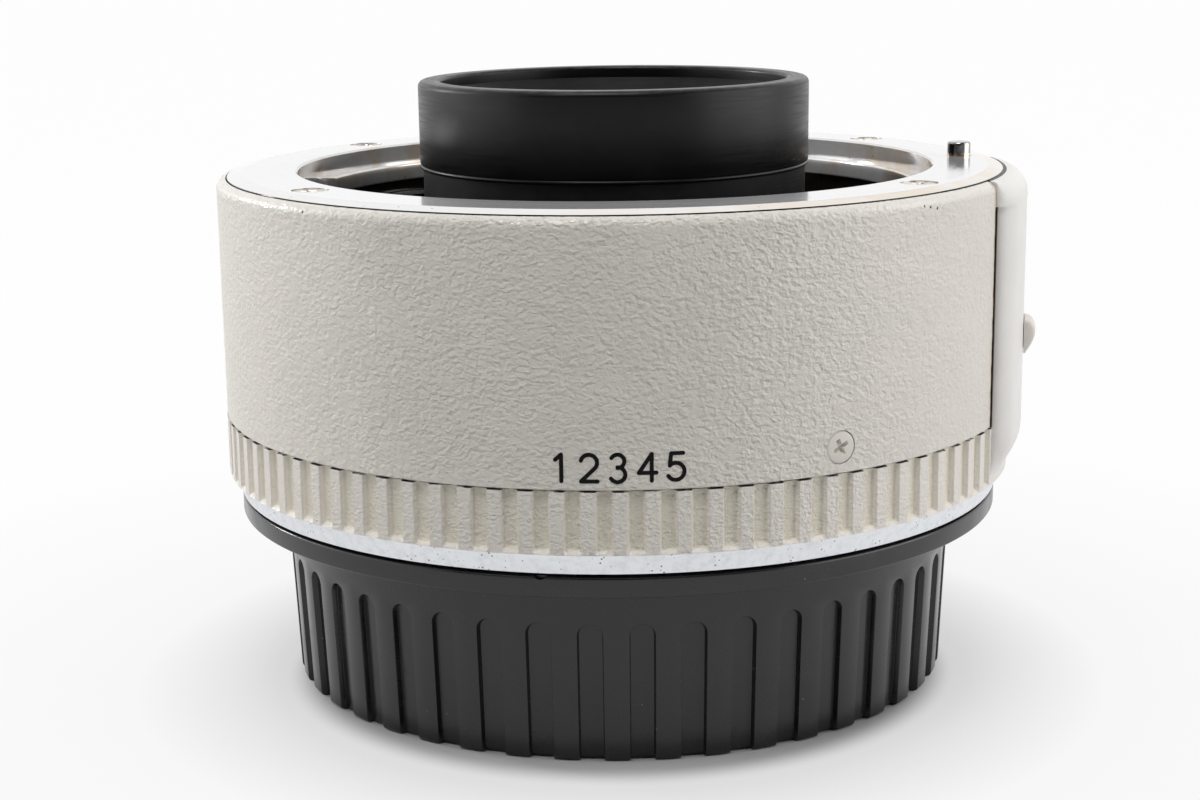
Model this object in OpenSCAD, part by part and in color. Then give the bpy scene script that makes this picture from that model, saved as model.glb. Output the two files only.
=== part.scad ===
// Camera teleconverter: a short barrel with a lens bayonet on top, a camera
// bayonet below, a five-element optical cell and a turn-on rear cap.
// Millimetres. The optical axis is +Z, lens side up. The origin is on the axis
// at the foot of the rear cap. The release block is on the +X side.

/* [Body] */
// Diameter of the painted barrel
body_d = 67.6; // [67:0.1:72]
// Length from the camera flange to the lens flange
body_len = 26.9; // [25:0.1:34]
// Wall of the painted barrel
barrel_wall = 1.6; // [1.3:0.1:1.7]
// Rounding of the barrel's top edge
barrel_round = 0.75; // [0.3:0.05:0.8]
// Step from the barrel's top edge up to the lens flange
barrel_drop = 0.35; // [0.1:0.05:0.4]
// Wall of the inner frame
frame_wall = 1.4; // [1:0.1:1.5]
// Thickness of the frame's shelf
shelf_t = 2; // [1.5:0.1:3]
// Height of the shelf's top above the camera flange
shelf_up = 12.5; // [11:0.1:13.5]
// Height of the frame's foot ring
foot_ring_h = 2.9; // [2:0.1:4]
// Radial width of the frame's foot ring
foot_ring_w = 4.6; // [3:0.1:5]
// Height of the frame's top ring
top_ring_h = 3.6; // [3:0.1:4.5]

/* [Ribbed ring] */
// Height of the ribbed ring
grip_h = 5; // [3.5:0.1:7]
// Grooves round the ribbed ring
grip_grooves = 90; // [60:1:100]
// Width of a groove at the ring's surface
groove_w = 1.2; // [0.6:0.05:1.3]
// Depth of a groove
groove_depth = 0.4; // [0.2:0.05:0.5]
// Sloped margin at the ring's foot
grip_margin = 0.3; // [0.2:0.1:1.2]
// Plain height between the margin and the grooves
groove_rise = 0.1; // [0.05:0.05:0.6]
// Slope of the margin, in from the ribs
margin_in = 0.25; // [0.1:0.05:0.5]

/* [Release block] */
// Middle of the block, as an angle from +X
block_a = -10; // [-20:1:5]
// Half of the block's angle
block_half = 16; // [14:0.5:24]
// Height of the block above the barrel's surface
block_proud = 1.15; // [0.8:0.05:2]
// Rounding of the block's upright edges
block_round = 1; // [0.4:0.1:1.4]
// Rounding of the block's top edge
block_top_round = 1.6; // [0.6:0.1:1.7]
// Height of the taper at the block's foot
block_taper_h = 3.6; // [2:0.1:5]
// Gap between the block and the barrel's cut edges
block_gap = 0.2; // [0.1:0.05:0.4]

/* [Release] */
// Travel of the release
release_travel = 2.2; // [1.5:0.1:2.4]
// Height of the knob's top edge above the camera flange
knob_up = 14.1; // [12.5:0.1:15]
// Height of the knob
knob_h = 3.5; // [3:0.1:5]
// Width of the knob
knob_w = 7.4; // [6:0.1:8]
// Height of the knob's crest above the block
knob_proud = 1.1; // [0.7:0.05:2]
// Gap under the knob
knob_gap = 0.15; // [0.1:0.05:0.3]
// Width of the knob's stem
stem_w = 3.4; // [2.6:0.1:4]
// Height of the knob's stem
stem_h = 2; // [1.8:0.1:2.4]
// Thickness of the slide plate
slide_t = 0.9; // [0.8:0.05:0.9]
// Width of the slide plate
slide_w = 7.2; // [6:0.1:8]
// Length of the slide plate below the knob's top edge
slide_tail = 5; // [4.5:0.1:5.5]
// Height of the slide's foot that carries the pin
slide_foot_h = 2.2; // [1.5:0.1:2.4]
// Depth of the foot's top below the lens flange
slide_foot_drop = 5.2; // [5:0.1:5.4]
// Lock pin's angle from +X
lock_a = 4; // [-6:0.5:5]
// Lock pin's distance outside the lens throat
lock_out = 3; // [2.7:0.05:3.1]
// Diameter of the lock pin
lock_d = 2; // [1.4:0.1:2]
// Height of the lock pin above the lens flange at rest
lock_up = 1.2; // [1:0.1:2]
// Mean diameter of the release spring
spring_d = 2.4; // [2.3:0.05:2.5]
// Wire of the release spring
spring_wire = 0.4; // [0.3:0.05:0.45]
// Turns of the release spring
spring_turns = 6; // [4:1:7]
// Length of the lock pin's guide inside the spring
guide_len = 3; // [2:0.1:4]
// Reach of the knob's screw into its stem
knob_screw_bite = 2; // [1.4:0.1:2.4]

/* [Lens bayonet] */
// Reach of the lens bayonet's lugs into its throat
front_lug_w = 1.4; // [1.2:0.05:1.8]
// Depth of the lugs below the lens flange
front_lug_drop = 1.7; // [1.2:0.1:2]
// Thickness of the lens bayonet's lugs
front_lug_t = 1.5; // [1.2:0.1:1.8]
// Half of a lug's angle
front_lug_half = 30; // [22:1:30]
// Middle of the first lug, as an angle from +X
front_lug_a = 18; // [10:1:26]
// Plate thickness of the lens bayonet ring
front_plate_t = 2.2; // [1.8:0.1:2.6]
// Flat width of the lens bayonet's face
front_face_w = 4.6; // [4.4:0.1:5]
// Width of the sloped rim outside the face
front_rim_w = 1.3; // [1:0.05:1.6]
// Drop of that rim
front_rim_drop = 0.25; // [0.1:0.05:0.4]
// Rim of the barrel outside the bayonet ring
barrel_lip = 0.85; // [0.82:0.01:0.95]
// Depth of the ring's skirt below the lens flange
front_skirt_drop = 5.2; // [5:0.1:5.4]
// Wall of the ring's skirt
front_skirt_wall = 1.4; // [1:0.1:1.5]
// Thickness of the spring plate under the skirt
leaf_t = 0.3; // [0.2:0.05:0.4]
// Rise of each spring leaf
leaf_rise = 0.8; // [0.4:0.1:1]
// Length of each spring leaf
leaf_len = 14; // [10:0.5:18]
// Half of the angle of a leaf's foot
leaf_foot_half = 2; // [1:0.5:4]
// Depth of the well between the throat and the hood
well_depth = 9; // [8.4:0.1:9.4]
// Floor thickness of the front baffle
baffle_t = 1.2; // [0.8:0.1:1.6]
// Wall of the front baffle
baffle_wall = 1; // [0.7:0.1:1.2]

/* [Camera bayonet] */
// Thickness of the camera flange
band_h = 1.6; // [1.4:0.1:3]
// Camera flange's edge inside the barrel's surface, at its foot
band_in = 0.95; // [0.8:0.05:1.2]
// Camera flange's edge inside the barrel's surface, at its top
band_top_in = 0.45; // [0.4:0.05:0.8]
// Flat width of the camera flange outside its spigot
band_w = 5.95; // [5.6:0.05:6.3]
// Height of the centring spigot
spigot_h = 1.5; // [1:0.1:1.8]
// Wall of the neck between spigot and lugs
neck_wall = 1.7; // [1.4:0.05:2]
// Step of the lugs in from the spigot
rear_lug_in = 0.3; // [0.2:0.05:0.5]
// Radial width of the lugs
rear_lug_w = 1.7; // [1.4:0.05:1.9]
// Depth of the lugs' inner face below the camera flange
rear_lug_drop = 3.6; // [3.4:0.1:4]
// Thickness of the lugs
rear_lug_t = 1.7; // [1.3:0.1:1.8]
// Half of a lug's angle
rear_lug_half = 29; // [24:1:29]
// Middle of the first lug, as an angle from +X
rear_lug_a = 30; // [0:1:60]
// Radial width of the ledge that holds the rear baffle
ledge_w = 2.4; // [2.2:0.1:2.8]
// Thickness of that ledge
ledge_t = 2.3; // [2:0.1:3]
// Thickness of the rear baffle
rear_baffle_t = 1.2; // [0.8:0.1:1.6]

/* [Optics] */
// Height of the hood's rim above the lens flange
hood_up = 7.25; // [5:0.1:9]
// Diameter of the hood
hood_d = 33.26; // [32:0.02:35]
// Height of the hood
hood_h = 7.35; // [6:0.05:8]
// Wall of the hood
hood_wall = 1.3; // [1:0.05:1.5]
// Width of the hood's rim
hood_rim_w = 1.9; // [1.7:0.05:2.2]
// Thickness of the hood's rim
hood_rim_t = 1; // [0.7:0.05:1.4]
// Rounding of the hood's rim
hood_round = 0.6; // [0.3:0.05:0.7]
// Step of the cell in from the hood
cell_in = 0.28; // [0.1:0.02:0.5]
// Front bore of the lens cell
front_bore_d = 27; // [26:0.1:27.4]
// Chamfer at the mouth of the front bore
mouth_chamfer = 1.1; // [0.5:0.1:1.2]
// Depth of the front retaining ring below the hood's rim
retainer_drop = 5.6; // [5.2:0.1:6]
// Height of the retaining rings
retainer_h = 1.8; // [1.2:0.1:2.2]
// Radial width of the retaining rings
retainer_w = 1.5; // [1.2:0.1:1.8]
// Width of the spanner slots
spanner_w = 1.2; // [0.8:0.1:1.6]
// Diameter of the lens cell behind the shelf
tail_d = 28; // [27.4:0.1:29]
// Rear bore of the lens cell
tail_bore_d = 24; // [23:0.1:24.6]
// Reach of the cell below the camera flange
tail_drop = 4.1; // [3.6:0.1:4.6]
// Web between the cell's two bores
web_t = 1.5; // [1:0.1:2]
// Height of the web above the shelf
web_up = 2; // [1.8:0.1:2.4]
// Clear diameter through the web
web_d = 22.4; // [21:0.1:22.8]
// Thickness of the flange that seats on the shelf
cell_flange_t = 1.6; // [1.2:0.1:1.8]
// Edge thickness of the front lens
front_lens_edge = 2.2; // [1.5:0.1:3]
// Edge thickness of the second lens
second_lens_edge = 4.2; // [3.6:0.1:4.6]
// Edge thickness of the cemented pair's front lens
pair_front_edge = 1.6; // [1.2:0.1:2.2]
// Edge thickness of the cemented pair's rear lens
pair_rear_edge = 5; // [4.6:0.1:5.6]
// Edge thickness of the rear lens
rear_lens_edge = 2; // [1.5:0.1:2.6]
// Radial width of the spacers
spacer_w = 1.2; // [0.8:0.1:1.4]
// Cement layer in the pair
cement_t = 0.05; // [0.02:0.01:0.1]
// Inset of the rear retaining ring
retainer_in = 0.3; // [0.2:0.05:0.6]
// Radius of the front lens's front face
front_curve = 46; // [36:1:80]
// Radius of the front lens's back face
front_back_curve = 140; // [90:1:300]
// Radius of the second lens's front hollow
second_top_curve = 70; // [60:1:120]
// Radius of the second lens's back hollow
second_back_curve = 48; // [44:1:90]
// Radius of the pair's front face
pair_top_curve = 40; // [36:1:80]
// Radius of the pair's cemented face
pair_inner_curve = 30; // [28:1:60]
// Radius of the pair's back hollow
pair_back_curve = 60; // [50:1:120]
// Radius of the rear lens's front face
rear_curve = 34; // [30:1:60]
// Radius of the rear lens's back face
rear_back_curve = 90; // [60:1:200]

/* [Contacts] */
// Contacts in a row
contact_count = 10; // [7:1:10]
// Pitch of the contacts, as an angle
contact_pitch = 4.6; // [4.4:0.1:5]
// Distance of the row of contacts inside the camera bayonet's bore
contact_in = 1.7; // [1.5:0.05:2]
// Radial width of a contact block
contact_block_w = 2.8; // [2.4:0.1:2.8]
// Half of a contact block's angle
contact_block_half = 27; // [26:1:32]
// Depth of a contact face below its flange
contact_drop = 5.9; // [5.6:0.1:6]
// Thickness of the flat contacts
pad_t = 0.2; // [0.15:0.05:0.3]
// Width of the flat contacts
pad_w = 1.1; // [0.8:0.05:1.3]
// Diameter of a sprung contact's tip
tip_d = 0.8; // [0.6:0.05:0.9]
// Height of a tip above its block when it is pressed right in
tip_left = 0.3; // [0.2:0.05:0.4]
// Travel of the sprung contacts
tip_travel = 0.6; // [0.4:0.05:0.6]
// How far a lens presses the tips in
contact_press = 0.5; // [0.3:0.05:0.55]
// Diameter of a sprung contact's collar
collar_d = 1.16; // [1.1:0.02:1.2]
// Height of a sprung contact's collar
collar_h = 0.65; // [0.5:0.05:0.7]
// Thickness of the block over the collars
collar_roof = 0.8; // [0.6:0.05:0.9]
// Thickness of the flexible circuit
flex_t = 0.3; // [0.2:0.05:0.4]
// Half of the flexible circuit's angle
flex_half = 14; // [8:1:20]

/* [Rear cap] */
// Height of the cap's foot below the camera flange
cap_h = 16.5; // [14:0.1:22]
// Gap between the cap's rim and the camera flange
cap_gap = 0.3; // [0.2:0.05:0.5]
// Step of the cap's rim in from the camera flange's edge
cap_rim_in = 0.05; // [0.05:0.05:0.8]
// Thickness of the cap's rim
cap_rim_t = 1.6; // [1.2:0.1:2.2]
// Wall of the cap at its foot
cap_wall = 1.45; // [1.05:0.05:1.6]
// Widening of the cap's wall on its diameter, from the foot to the rim's slope
cap_taper = 1.2; // [0.2:0.1:1.4]
// Height of the slope between wall and rim
cap_slope_h = 0.8; // [0.4:0.1:1.6]
// Rounding of the cap's foot
cap_round = 0.5; // [0.2:0.1:0.8]
// Floor of the cap
cap_floor = 1.8; // [1.2:0.1:2.6]
// Grip slots round the cap
slot_count = 45; // [30:1:48]
// Angle of the first grip slot
slot_a = 1.5; // [0:0.5:8]
// Width of a grip slot
slot_w = 2; // [1.2:0.1:2.2]
// Depth of a grip slot
slot_depth = 0.5; // [0.3:0.05:0.5]
// Height of the slots' round tops above the cap's foot
slot_top = 11.3; // [9:0.1:11.6]
// Thickness of the cap's lugs
cap_lug_t = 1.5; // [1.2:0.1:1.6]
// Half of a cap lug's angle
cap_lug_half = 25; // [18:1:26]
// Angle that the cap's stop block takes up
cap_stop_a = 3; // [2:0.5:4]

/* [Fasteners] */
// Distance of the bayonet screws outside the throat
mount_screw_out = 2.7; // [2.6:0.05:2.9]
// Head diameter of the bayonet screws
mount_screw_head = 2.9; // [2.4:0.1:3]
// Shank diameter of the bayonet screws
mount_screw_d = 1.6; // [1.2:0.1:1.8]
// Length of the bayonet screws
mount_screw_len = 4.6; // [3.8:0.1:5.2]
// Height of the barrel screws above the camera flange
body_screw_up = 8.6; // [8.4:0.1:9.2]
// Angle of the first barrel screw
body_screw_a = -60.5; // [-66:0.5:-54]
// Head diameter of the barrel screws
body_screw_head = 2.5; // [2:0.1:2.6]
// Shank diameter of the barrel screws
body_screw_d = 1.4; // [1:0.1:1.5]
// Head diameter of the small inner screws
small_head = 2.2; // [1.6:0.1:2.3]
// Head height of the small inner screws
small_head_h = 0.7; // [0.5:0.05:0.8]
// Shank diameter of the small inner screws
small_d = 1.2; // [0.8:0.1:1.3]
// Reach of the baffle screws into their ledge
baffle_screw_bite = 1.6; // [1:0.1:2]
// Diameter of the lens index dots
index_d = 2.2; // [1.6:0.1:2.4]
// Thickness of the dot in the lens flange
index_t = 0.3; // [0.2:0.05:0.5]
// Depth of the dot in the ribbed ring
index_sink = 1; // [0.6:0.1:1.3]

/* [Clearances] */
// Radial clearance of fixed round fits
fit = 0.05; // [0.02:0.01:0.08]
// Radial clearance of pins that slide
slide_fit = 0.05; // [0.03:0.01:0.08]
// Clearance round moving pieces
run = 0.3; // [0.2:0.05:0.35]

/* [Hidden] */
$fn = 96;

// Levels along the axis
z_rear = cap_h;
z_band = z_rear + band_h;
z_grip = z_band + grip_h;
z_block = z_band + grip_margin / 2;
z_face = z_rear + body_len;
z_top = z_face - barrel_drop;
z_shelf = z_rear + shelf_up;
z_seat = z_face - front_plate_t;
z_well = z_face - well_depth;
z_skirt = z_face - front_skirt_drop;
z_rim = z_face + hood_up;
z_hood = z_rim - hood_h;
z_neck = z_rim - hood_rim_t;
z_tail = z_rear - tail_drop;
z_baffle = z_band - ledge_t;
z_pads = z_rear - contact_drop;

// Radii
body_r = body_d / 2;
barrel_bore = body_r - barrel_wall;
frame_r = barrel_bore - fit;
frame_in = frame_r - frame_wall;
mount_r = body_r - barrel_lip - fit;
throat_r = mount_r - front_rim_w - front_face_w;
front_lug_r = throat_r - front_lug_w;
skirt_r = throat_r + front_skirt_wall;
ring_in = skirt_r + run;
screw_r = throat_r + mount_screw_out;
lock_r = throat_r + lock_out;
hood_r = hood_d / 2;
neck_r = hood_r - hood_wall;
cell_r = hood_r - cell_in;
cell_screw_r = cell_r + run + small_head / 2;
cell_flange_r = cell_screw_r + small_head / 2 + run;
tail_r = tail_d / 2;
front_bore = front_bore_d / 2;
tail_bore = tail_bore_d / 2;
band_r = body_r - band_in;
spigot_r = band_r - band_w;
rear_lug_r = spigot_r - rear_lug_in;
rear_neck_r = rear_lug_r - rear_lug_w;
rear_bore = rear_neck_r - neck_wall;
ledge_r = rear_bore - ledge_w;
baffle_screw_r = (rear_bore + ledge_r) / 2;
contact_r = rear_bore - contact_in;
block_r = body_r + block_proud;
cap_bore = rear_lug_r + run + fit;
cap_r = cap_bore + cap_wall;
cap_rim_r = band_r - cap_rim_in;
cap_lug_r = rear_neck_r + run + 2 * fit;

// Release: the slide runs in a window of the frame's wall
z_knob = z_rear + knob_up;
z_stem = z_knob - knob_h / 2;
z_slide = z_knob - slide_tail;
z_foot = z_face - slide_foot_drop;
z_foot_low = z_foot - slide_foot_h;
slide_r = frame_r - fit;
slide_half = asin(slide_w / 2 / slide_r);
pocket_half = asin((slide_w / 2 + run) / slide_r);
foot_side = asin((spring_d + spring_wire) / 2 / lock_r);
foot_from = min(block_a - slide_half, lock_a - foot_side);
foot_to = max(block_a + slide_half, lock_a + foot_side);
foot_a = (foot_from + foot_to) / 2;
foot_half = (foot_to - foot_from) / 2;
z_pocket = z_shelf - fit;
spring_low = z_pocket + fit;
spring_high = z_foot_low - fit;
spring_gap = (spring_high - spring_low - spring_wire) / spring_turns - spring_wire;
echo(least_gap_of_the_release_spring = spring_gap);

// Cap: its lugs catch above the camera bayonet's lugs
z_cap_rim = cap_h - cap_gap;
z_cap_slope = z_cap_rim - cap_rim_t - cap_slope_h;
z_rear_lug = z_rear - rear_lug_drop;
z_rear_lug_foot = z_rear_lug - rear_lug_t;
z_cap_lug = z_rear_lug + run;
cap_draft = atan(cap_taper / 2 / z_cap_slope);

// Sprung contacts: a lens presses their tips level with its own contact face
z_tip = z_face - contact_drop + contact_press;
z_tip_block = z_tip - tip_travel - tip_left;
z_roof = z_tip_block - collar_roof;

// How far a round face of radius r_face departs from flat at radius r
function sag(r_face, r) = r_face - sqrt(r_face * r_face - r * r);
// The part of that between a glass edge and a seat that is narrower by a width
function seat_sag(r_face, r, w) = sag(r_face, r) - sag(r_face, r - w);

// Glass: each lens seats on its ring, spacer or web at that piece's inner edge
glass_r = front_bore - fit;
tail_glass_r = tail_bore - fit;
z_web = z_shelf + web_up;
z_web_top = z_web + web_t;
z_second_top = z_web_top + second_lens_edge;
z_ring_top = z_rim - retainer_drop;
z_ring_low = z_ring_top - retainer_h;
z_front_top = z_ring_low - fit - seat_sag(front_curve, glass_r, retainer_w);
z_front_low = z_front_top - front_lens_edge;
z_spacer_top = z_front_low - fit - seat_sag(front_back_curve, glass_r, spacer_w);
z_pair_top = z_web - fit - seat_sag(pair_top_curve, tail_glass_r, tail_glass_r - web_d / 2);
z_pair_mid = z_pair_top - pair_front_edge;
z_pair_low = z_pair_mid - pair_rear_edge;
z_tail_ring = z_tail + retainer_in;
z_tail_ring_top = z_tail_ring + retainer_h;
z_rear_low = z_tail_ring_top + fit + seat_sag(rear_back_curve, tail_glass_r, retainer_w);
z_rear_top = z_rear_low + rear_lens_edge;
z_spacer_low = z_rear_top + fit + seat_sag(rear_curve, tail_glass_r, spacer_w);

far = 100;
cut = 0.1;
recess_share = 0.6;
round_fn = 720;
lug_angles = [0, 120, 240];
mount_screw_angles = [37, 142, 217, 323];
baffle_screw_angles = [35, 145, 215, 325];
cell_screw_angles = [30, 150, 250];
contact_a = -90;
index_a = 90;

// A ring between two radii and two levels
module ring(r_in, r_out, z0, z1) {
  rotate_extrude() translate([r_in, z0]) square([r_out - r_in, z1 - z0]);
}

// Part of a ring, half an angle either side of its middle
module sector(r_in, r_out, z0, z1, middle, half) {
  rotate([0, 0, middle - half])
    rotate_extrude(angle = 2 * half) translate([r_in, z0]) square([r_out - r_in, z1 - z0]);
}

module disc(r, z0, z1) {
  translate([0, 0, z0]) cylinder(r = r, h = z1 - z0);
}

// Children at an angle and a radius
module at(a, r) {
  rotate([0, 0, a]) translate([r, 0, 0]) children();
}

// A cross recess, sunk from z = 0
module cross_recess(width, depth) {
  for (turn = [0, 90])
    rotate([0, 0, turn])
      translate([-width / 2, -width / 8, -depth]) cube([width, width / 4, depth + cut]);
}

// A countersunk screw with its head's face at z = 0 and its shank down
module countersunk_screw(head, shank, length) {
  head_h = (head - shank) / 2;
  difference() {
    union() {
      translate([0, 0, -head_h]) cylinder(d1 = shank, d2 = head, h = head_h);
      translate([0, 0, -length]) cylinder(d = shank, h = length - head_h);
    }
    cross_recess(head * recess_share, head_h * recess_share);
  }
}

// The hole for that screw, with a fixed fit all round
module countersunk_hole(head, shank, length) {
  head_h = (head - shank) / 2;
  translate([0, 0, -head_h])
    cylinder(d1 = shank + 2 * fit, d2 = head + 2 * (fit + cut), h = head_h + cut);
  translate([0, 0, -length - fit]) cylinder(d = shank + 2 * fit, h = length);
}

// A flat-headed screw with its head standing on z = 0 and its shank down
module pan_screw(length) {
  difference() {
    union() {
      cylinder(d = small_head, h = small_head_h);
      translate([0, 0, -length]) cylinder(d = small_d, h = length);
    }
    translate([0, 0, small_head_h]) cross_recess(small_head * recess_share, small_head_h * recess_share);
  }
}

// Half of a glass face's outline: a round disc about the axis, with its top or foot at z
module face_below(z, r_face) {
  translate([0, z - r_face]) circle(r = r_face, $fn = round_fn);
}
module face_above(z, r_face) {
  translate([0, z + r_face]) circle(r = r_face, $fn = round_fn);
}

// A lens that bulges both ways, with its edge between two levels
module bulging_lens(r, low, high, low_curve, high_curve) {
  foot = low - sag(low_curve, r);
  crown = high + sag(high_curve, r);
  rotate_extrude() intersection() {
    translate([0, foot]) square([r, crown - foot]);
    face_below(crown, high_curve);
    face_above(foot, low_curve);
  }
}

// A lens with a hollow in each side, each as wide as its own radius says
module hollow_lens(r, low, high, low_r, low_curve, high_r, high_curve) {
  rotate_extrude() difference() {
    translate([0, low]) square([r, high - low]);
    face_above(high - sag(high_curve, high_r), high_curve);
    face_below(low + sag(low_curve, low_r), low_curve);
  }
}

// A helical spring round z, from z0 up, as one tube
function coil_point(turn, r, z0, rise) =
  [r * cos(360 * turn), r * sin(360 * turn), z0 + rise * turn];
function coil_ring(turn, r, z0, rise, wire, sides) =
  let (slope = atan(rise / (2 * PI * r)), p = coil_point(turn, r, z0, rise), a = 360 * turn)
  [for (i = [0:sides - 1])
    let (out = wire / 2 * cos(360 * i / sides), up = wire / 2 * sin(360 * i / sides))
    p + [out * cos(a) + up * sin(slope) * sin(a), out * sin(a) - up * sin(slope) * cos(a),
      up * cos(slope)]];
module coil(r, z0, z1, wire, turns) {
  sides = 6;
  rings_a_turn = 8;
  rings = turns * rings_a_turn;
  rise = (z1 - z0 - wire) / turns;
  points = [for (k = [0:rings])
    each coil_ring(k / rings_a_turn, r, z0 + wire / 2, rise, wire, sides)];
  walls = [for (k = [0:rings - 1], i = [0:sides - 1])
    let (j = (i + 1) % sides, a = k * sides, b = a + sides)
    each [[a + i, b + i, b + j], [a + i, b + j, a + j]]];
  first = [for (i = [1:sides - 2]) [0, i, i + 1]];
  last = [for (i = [1:sides - 2]) [rings * sides, rings * sides + i + 1, rings * sides + i]];
  polyhedron(points = points, faces = concat(walls, first, last), convexity = 10);
}

// Rear cap: a rimmed cup with round-topped grip slots, three lugs and a stop
module cap_slot() {
  translate([cap_r - slot_depth, 0, 0]) rotate([0, cap_draft, 0]) rotate([90, 0, 90])
    linear_extrude(far) union() {
      translate([-slot_w / 2, -far]) square([slot_w, far + slot_top - slot_w / 2]);
      translate([0, slot_top - slot_w / 2]) circle(d = slot_w);
    }
}
module cap_outside() {
  wall_top = cap_r + cap_taper / 2;
  rotate_extrude() polygon([
    [0, 0], [cap_r - cap_round, 0], [cap_r, cap_round], [wall_top, z_cap_slope],
    [cap_rim_r, z_cap_slope + cap_slope_h], [cap_rim_r, z_cap_rim], [0, z_cap_rim]
  ]);
}
module rear_cap() {
  stop_a = rear_lug_a - rear_lug_half - cap_stop_a / 2 - atan(run / rear_neck_r);
  color("#3a3a3c") difference() {
    union() {
      difference() {
        cap_outside();
        disc(cap_bore, cap_floor, far);
        for (i = [0:slot_count - 1]) rotate([0, 0, slot_a + 360 * i / slot_count]) cap_slot();
      }
      for (a = lug_angles)
        sector(cap_lug_r, cap_bore + fit, z_cap_lug, z_cap_lug + cap_lug_t, rear_lug_a + a, cap_lug_half);
      sector(cap_lug_r, cap_bore + fit, z_rear_lug_foot, z_cap_lug + cap_lug_t, stop_a, cap_stop_a / 2);
    }
    disc(spigot_r + run, z_rear - spigot_h - run, far);
  }
}

// Camera bayonet: flange, centring spigot, neck and three lugs
module rear_mount() {
  lug_in = (rear_bore + rear_neck_r) / 2;
  color("#d8d8d6") difference() {
    union() {
      rotate_extrude() polygon([
        [0, z_rear], [band_r, z_rear], [body_r - band_top_in, z_band], [0, z_band]
      ]);
      disc(spigot_r, z_rear - spigot_h, z_band);
      disc(rear_neck_r, z_rear_lug_foot, z_band);
      for (a = lug_angles)
        sector(lug_in, rear_lug_r, z_rear_lug_foot, z_rear_lug, rear_lug_a + a, rear_lug_half);
    }
    disc(rear_bore, z_rear_lug_foot - cut, z_baffle);
    disc(ledge_r, z_rear_lug_foot - cut, far);
    circuit_slot(z_baffle, z_band);
    for (a = mount_screw_angles)
      at(a, screw_r) translate([0, 0, z_rear]) rotate([180, 0, 0])
        countersunk_hole(mount_screw_head, mount_screw_d, mount_screw_len);
    for (a = baffle_screw_angles)
      at(a, baffle_screw_r) disc(small_d / 2 + fit, z_baffle - cut, z_baffle + baffle_screw_bite + fit);
  }
}

module rear_mount_screws() {
  color("#c4c4c2") for (a = mount_screw_angles)
    at(a, screw_r) translate([0, 0, z_rear]) rotate([180, 0, 0])
      countersunk_screw(mount_screw_head, mount_screw_d, mount_screw_len);
}

// Rear baffle: a black plate inside the camera bayonet, with a slot for the circuit
module rear_baffle() {
  color("#242426") difference() {
    ring(tail_r + run, rear_bore - fit, z_baffle - rear_baffle_t, z_baffle);
    circuit_slot(z_baffle - rear_baffle_t, z_baffle);
    for (a = baffle_screw_angles)
      at(a, baffle_screw_r) disc(small_d / 2 + fit, z_baffle - rear_baffle_t - cut, z_baffle + cut);
  }
}
module rear_baffle_screws() {
  color("#2a2a2c") for (a = baffle_screw_angles)
    at(a, baffle_screw_r) translate([0, 0, z_baffle - rear_baffle_t]) rotate([180, 0, 0])
      pan_screw(rear_baffle_t + baffle_screw_bite);
}

// Contact blocks: a curved bar under each flange, on the -Y side
module contact_bar(z0, z1) {
  half_w = contact_block_w / 2;
  sector(contact_r - half_w, contact_r + half_w, z0, z1, contact_a, contact_block_half);
}
module each_contact() {
  for (i = [0:contact_count - 1])
    at(contact_a + (i - (contact_count - 1) / 2) * contact_pitch, contact_r) children();
}
module rear_contact_block() {
  color("#1e1e20") contact_bar(z_pads, z_baffle - rear_baffle_t);
}
module rear_contacts() {
  pad_len = contact_block_w - 2 * run;
  color("#d9b45a") each_contact()
    translate([-pad_len / 2, -pad_w / 2, z_pads - pad_t]) cube([pad_len, pad_w, pad_t]);
}

// Flexible circuit: a curved strip from block to block, through slots in what it crosses
module flex_circuit() {
  color("#a8641e") sector(contact_r - flex_t / 2, contact_r + flex_t / 2,
    z_baffle - rear_baffle_t, z_well, contact_a, flex_half);
}
module circuit_slot(z0, z1) {
  side = atan(run / contact_r);
  sector(contact_r - flex_t / 2 - run, contact_r + flex_t / 2 + run, z0 - cut, z1 + cut,
    contact_a, flex_half + side);
}

// Main frame: the inner tube that both bayonets, the cell and the barrel screw onto
module main_frame() {
  color("#55565a") difference() {
    union() {
      ring(frame_in, frame_r, z_band, z_seat);
      ring(frame_r - foot_ring_w, frame_r, z_band, z_band + foot_ring_h);
      ring(tail_r + fit, frame_r, z_shelf - shelf_t, z_shelf);
      ring(ring_in, frame_r, z_seat - top_ring_h, z_seat);
    }
    circuit_slot(z_shelf - shelf_t, z_shelf);
    sector(frame_in - cut, far, z_slide - release_travel - run, z_shelf + cut, block_a, pocket_half);
    sector(ring_in - run, far, z_pocket, z_foot + run, foot_a, foot_half + pocket_half - slide_half);
    at(lock_a, lock_r) disc(lock_d / 2 + run, z_shelf + run, far);
    for (a = mount_screw_angles) {
      at(a, screw_r) translate([0, 0, z_face])
        countersunk_hole(mount_screw_head, mount_screw_d, mount_screw_len);
      at(a, screw_r) translate([0, 0, z_rear]) rotate([180, 0, 0])
        countersunk_hole(mount_screw_head, mount_screw_d, mount_screw_len);
    }
    for (a = lug_angles) body_screw_place(a)
      countersunk_hole(body_screw_head, body_screw_d, barrel_wall + frame_wall + fit);
    for (a = cell_screw_angles)
      at(a, cell_screw_r) disc(small_d / 2 + fit, z_shelf - shelf_t - cut, z_shelf + cut);
  }
}

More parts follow.
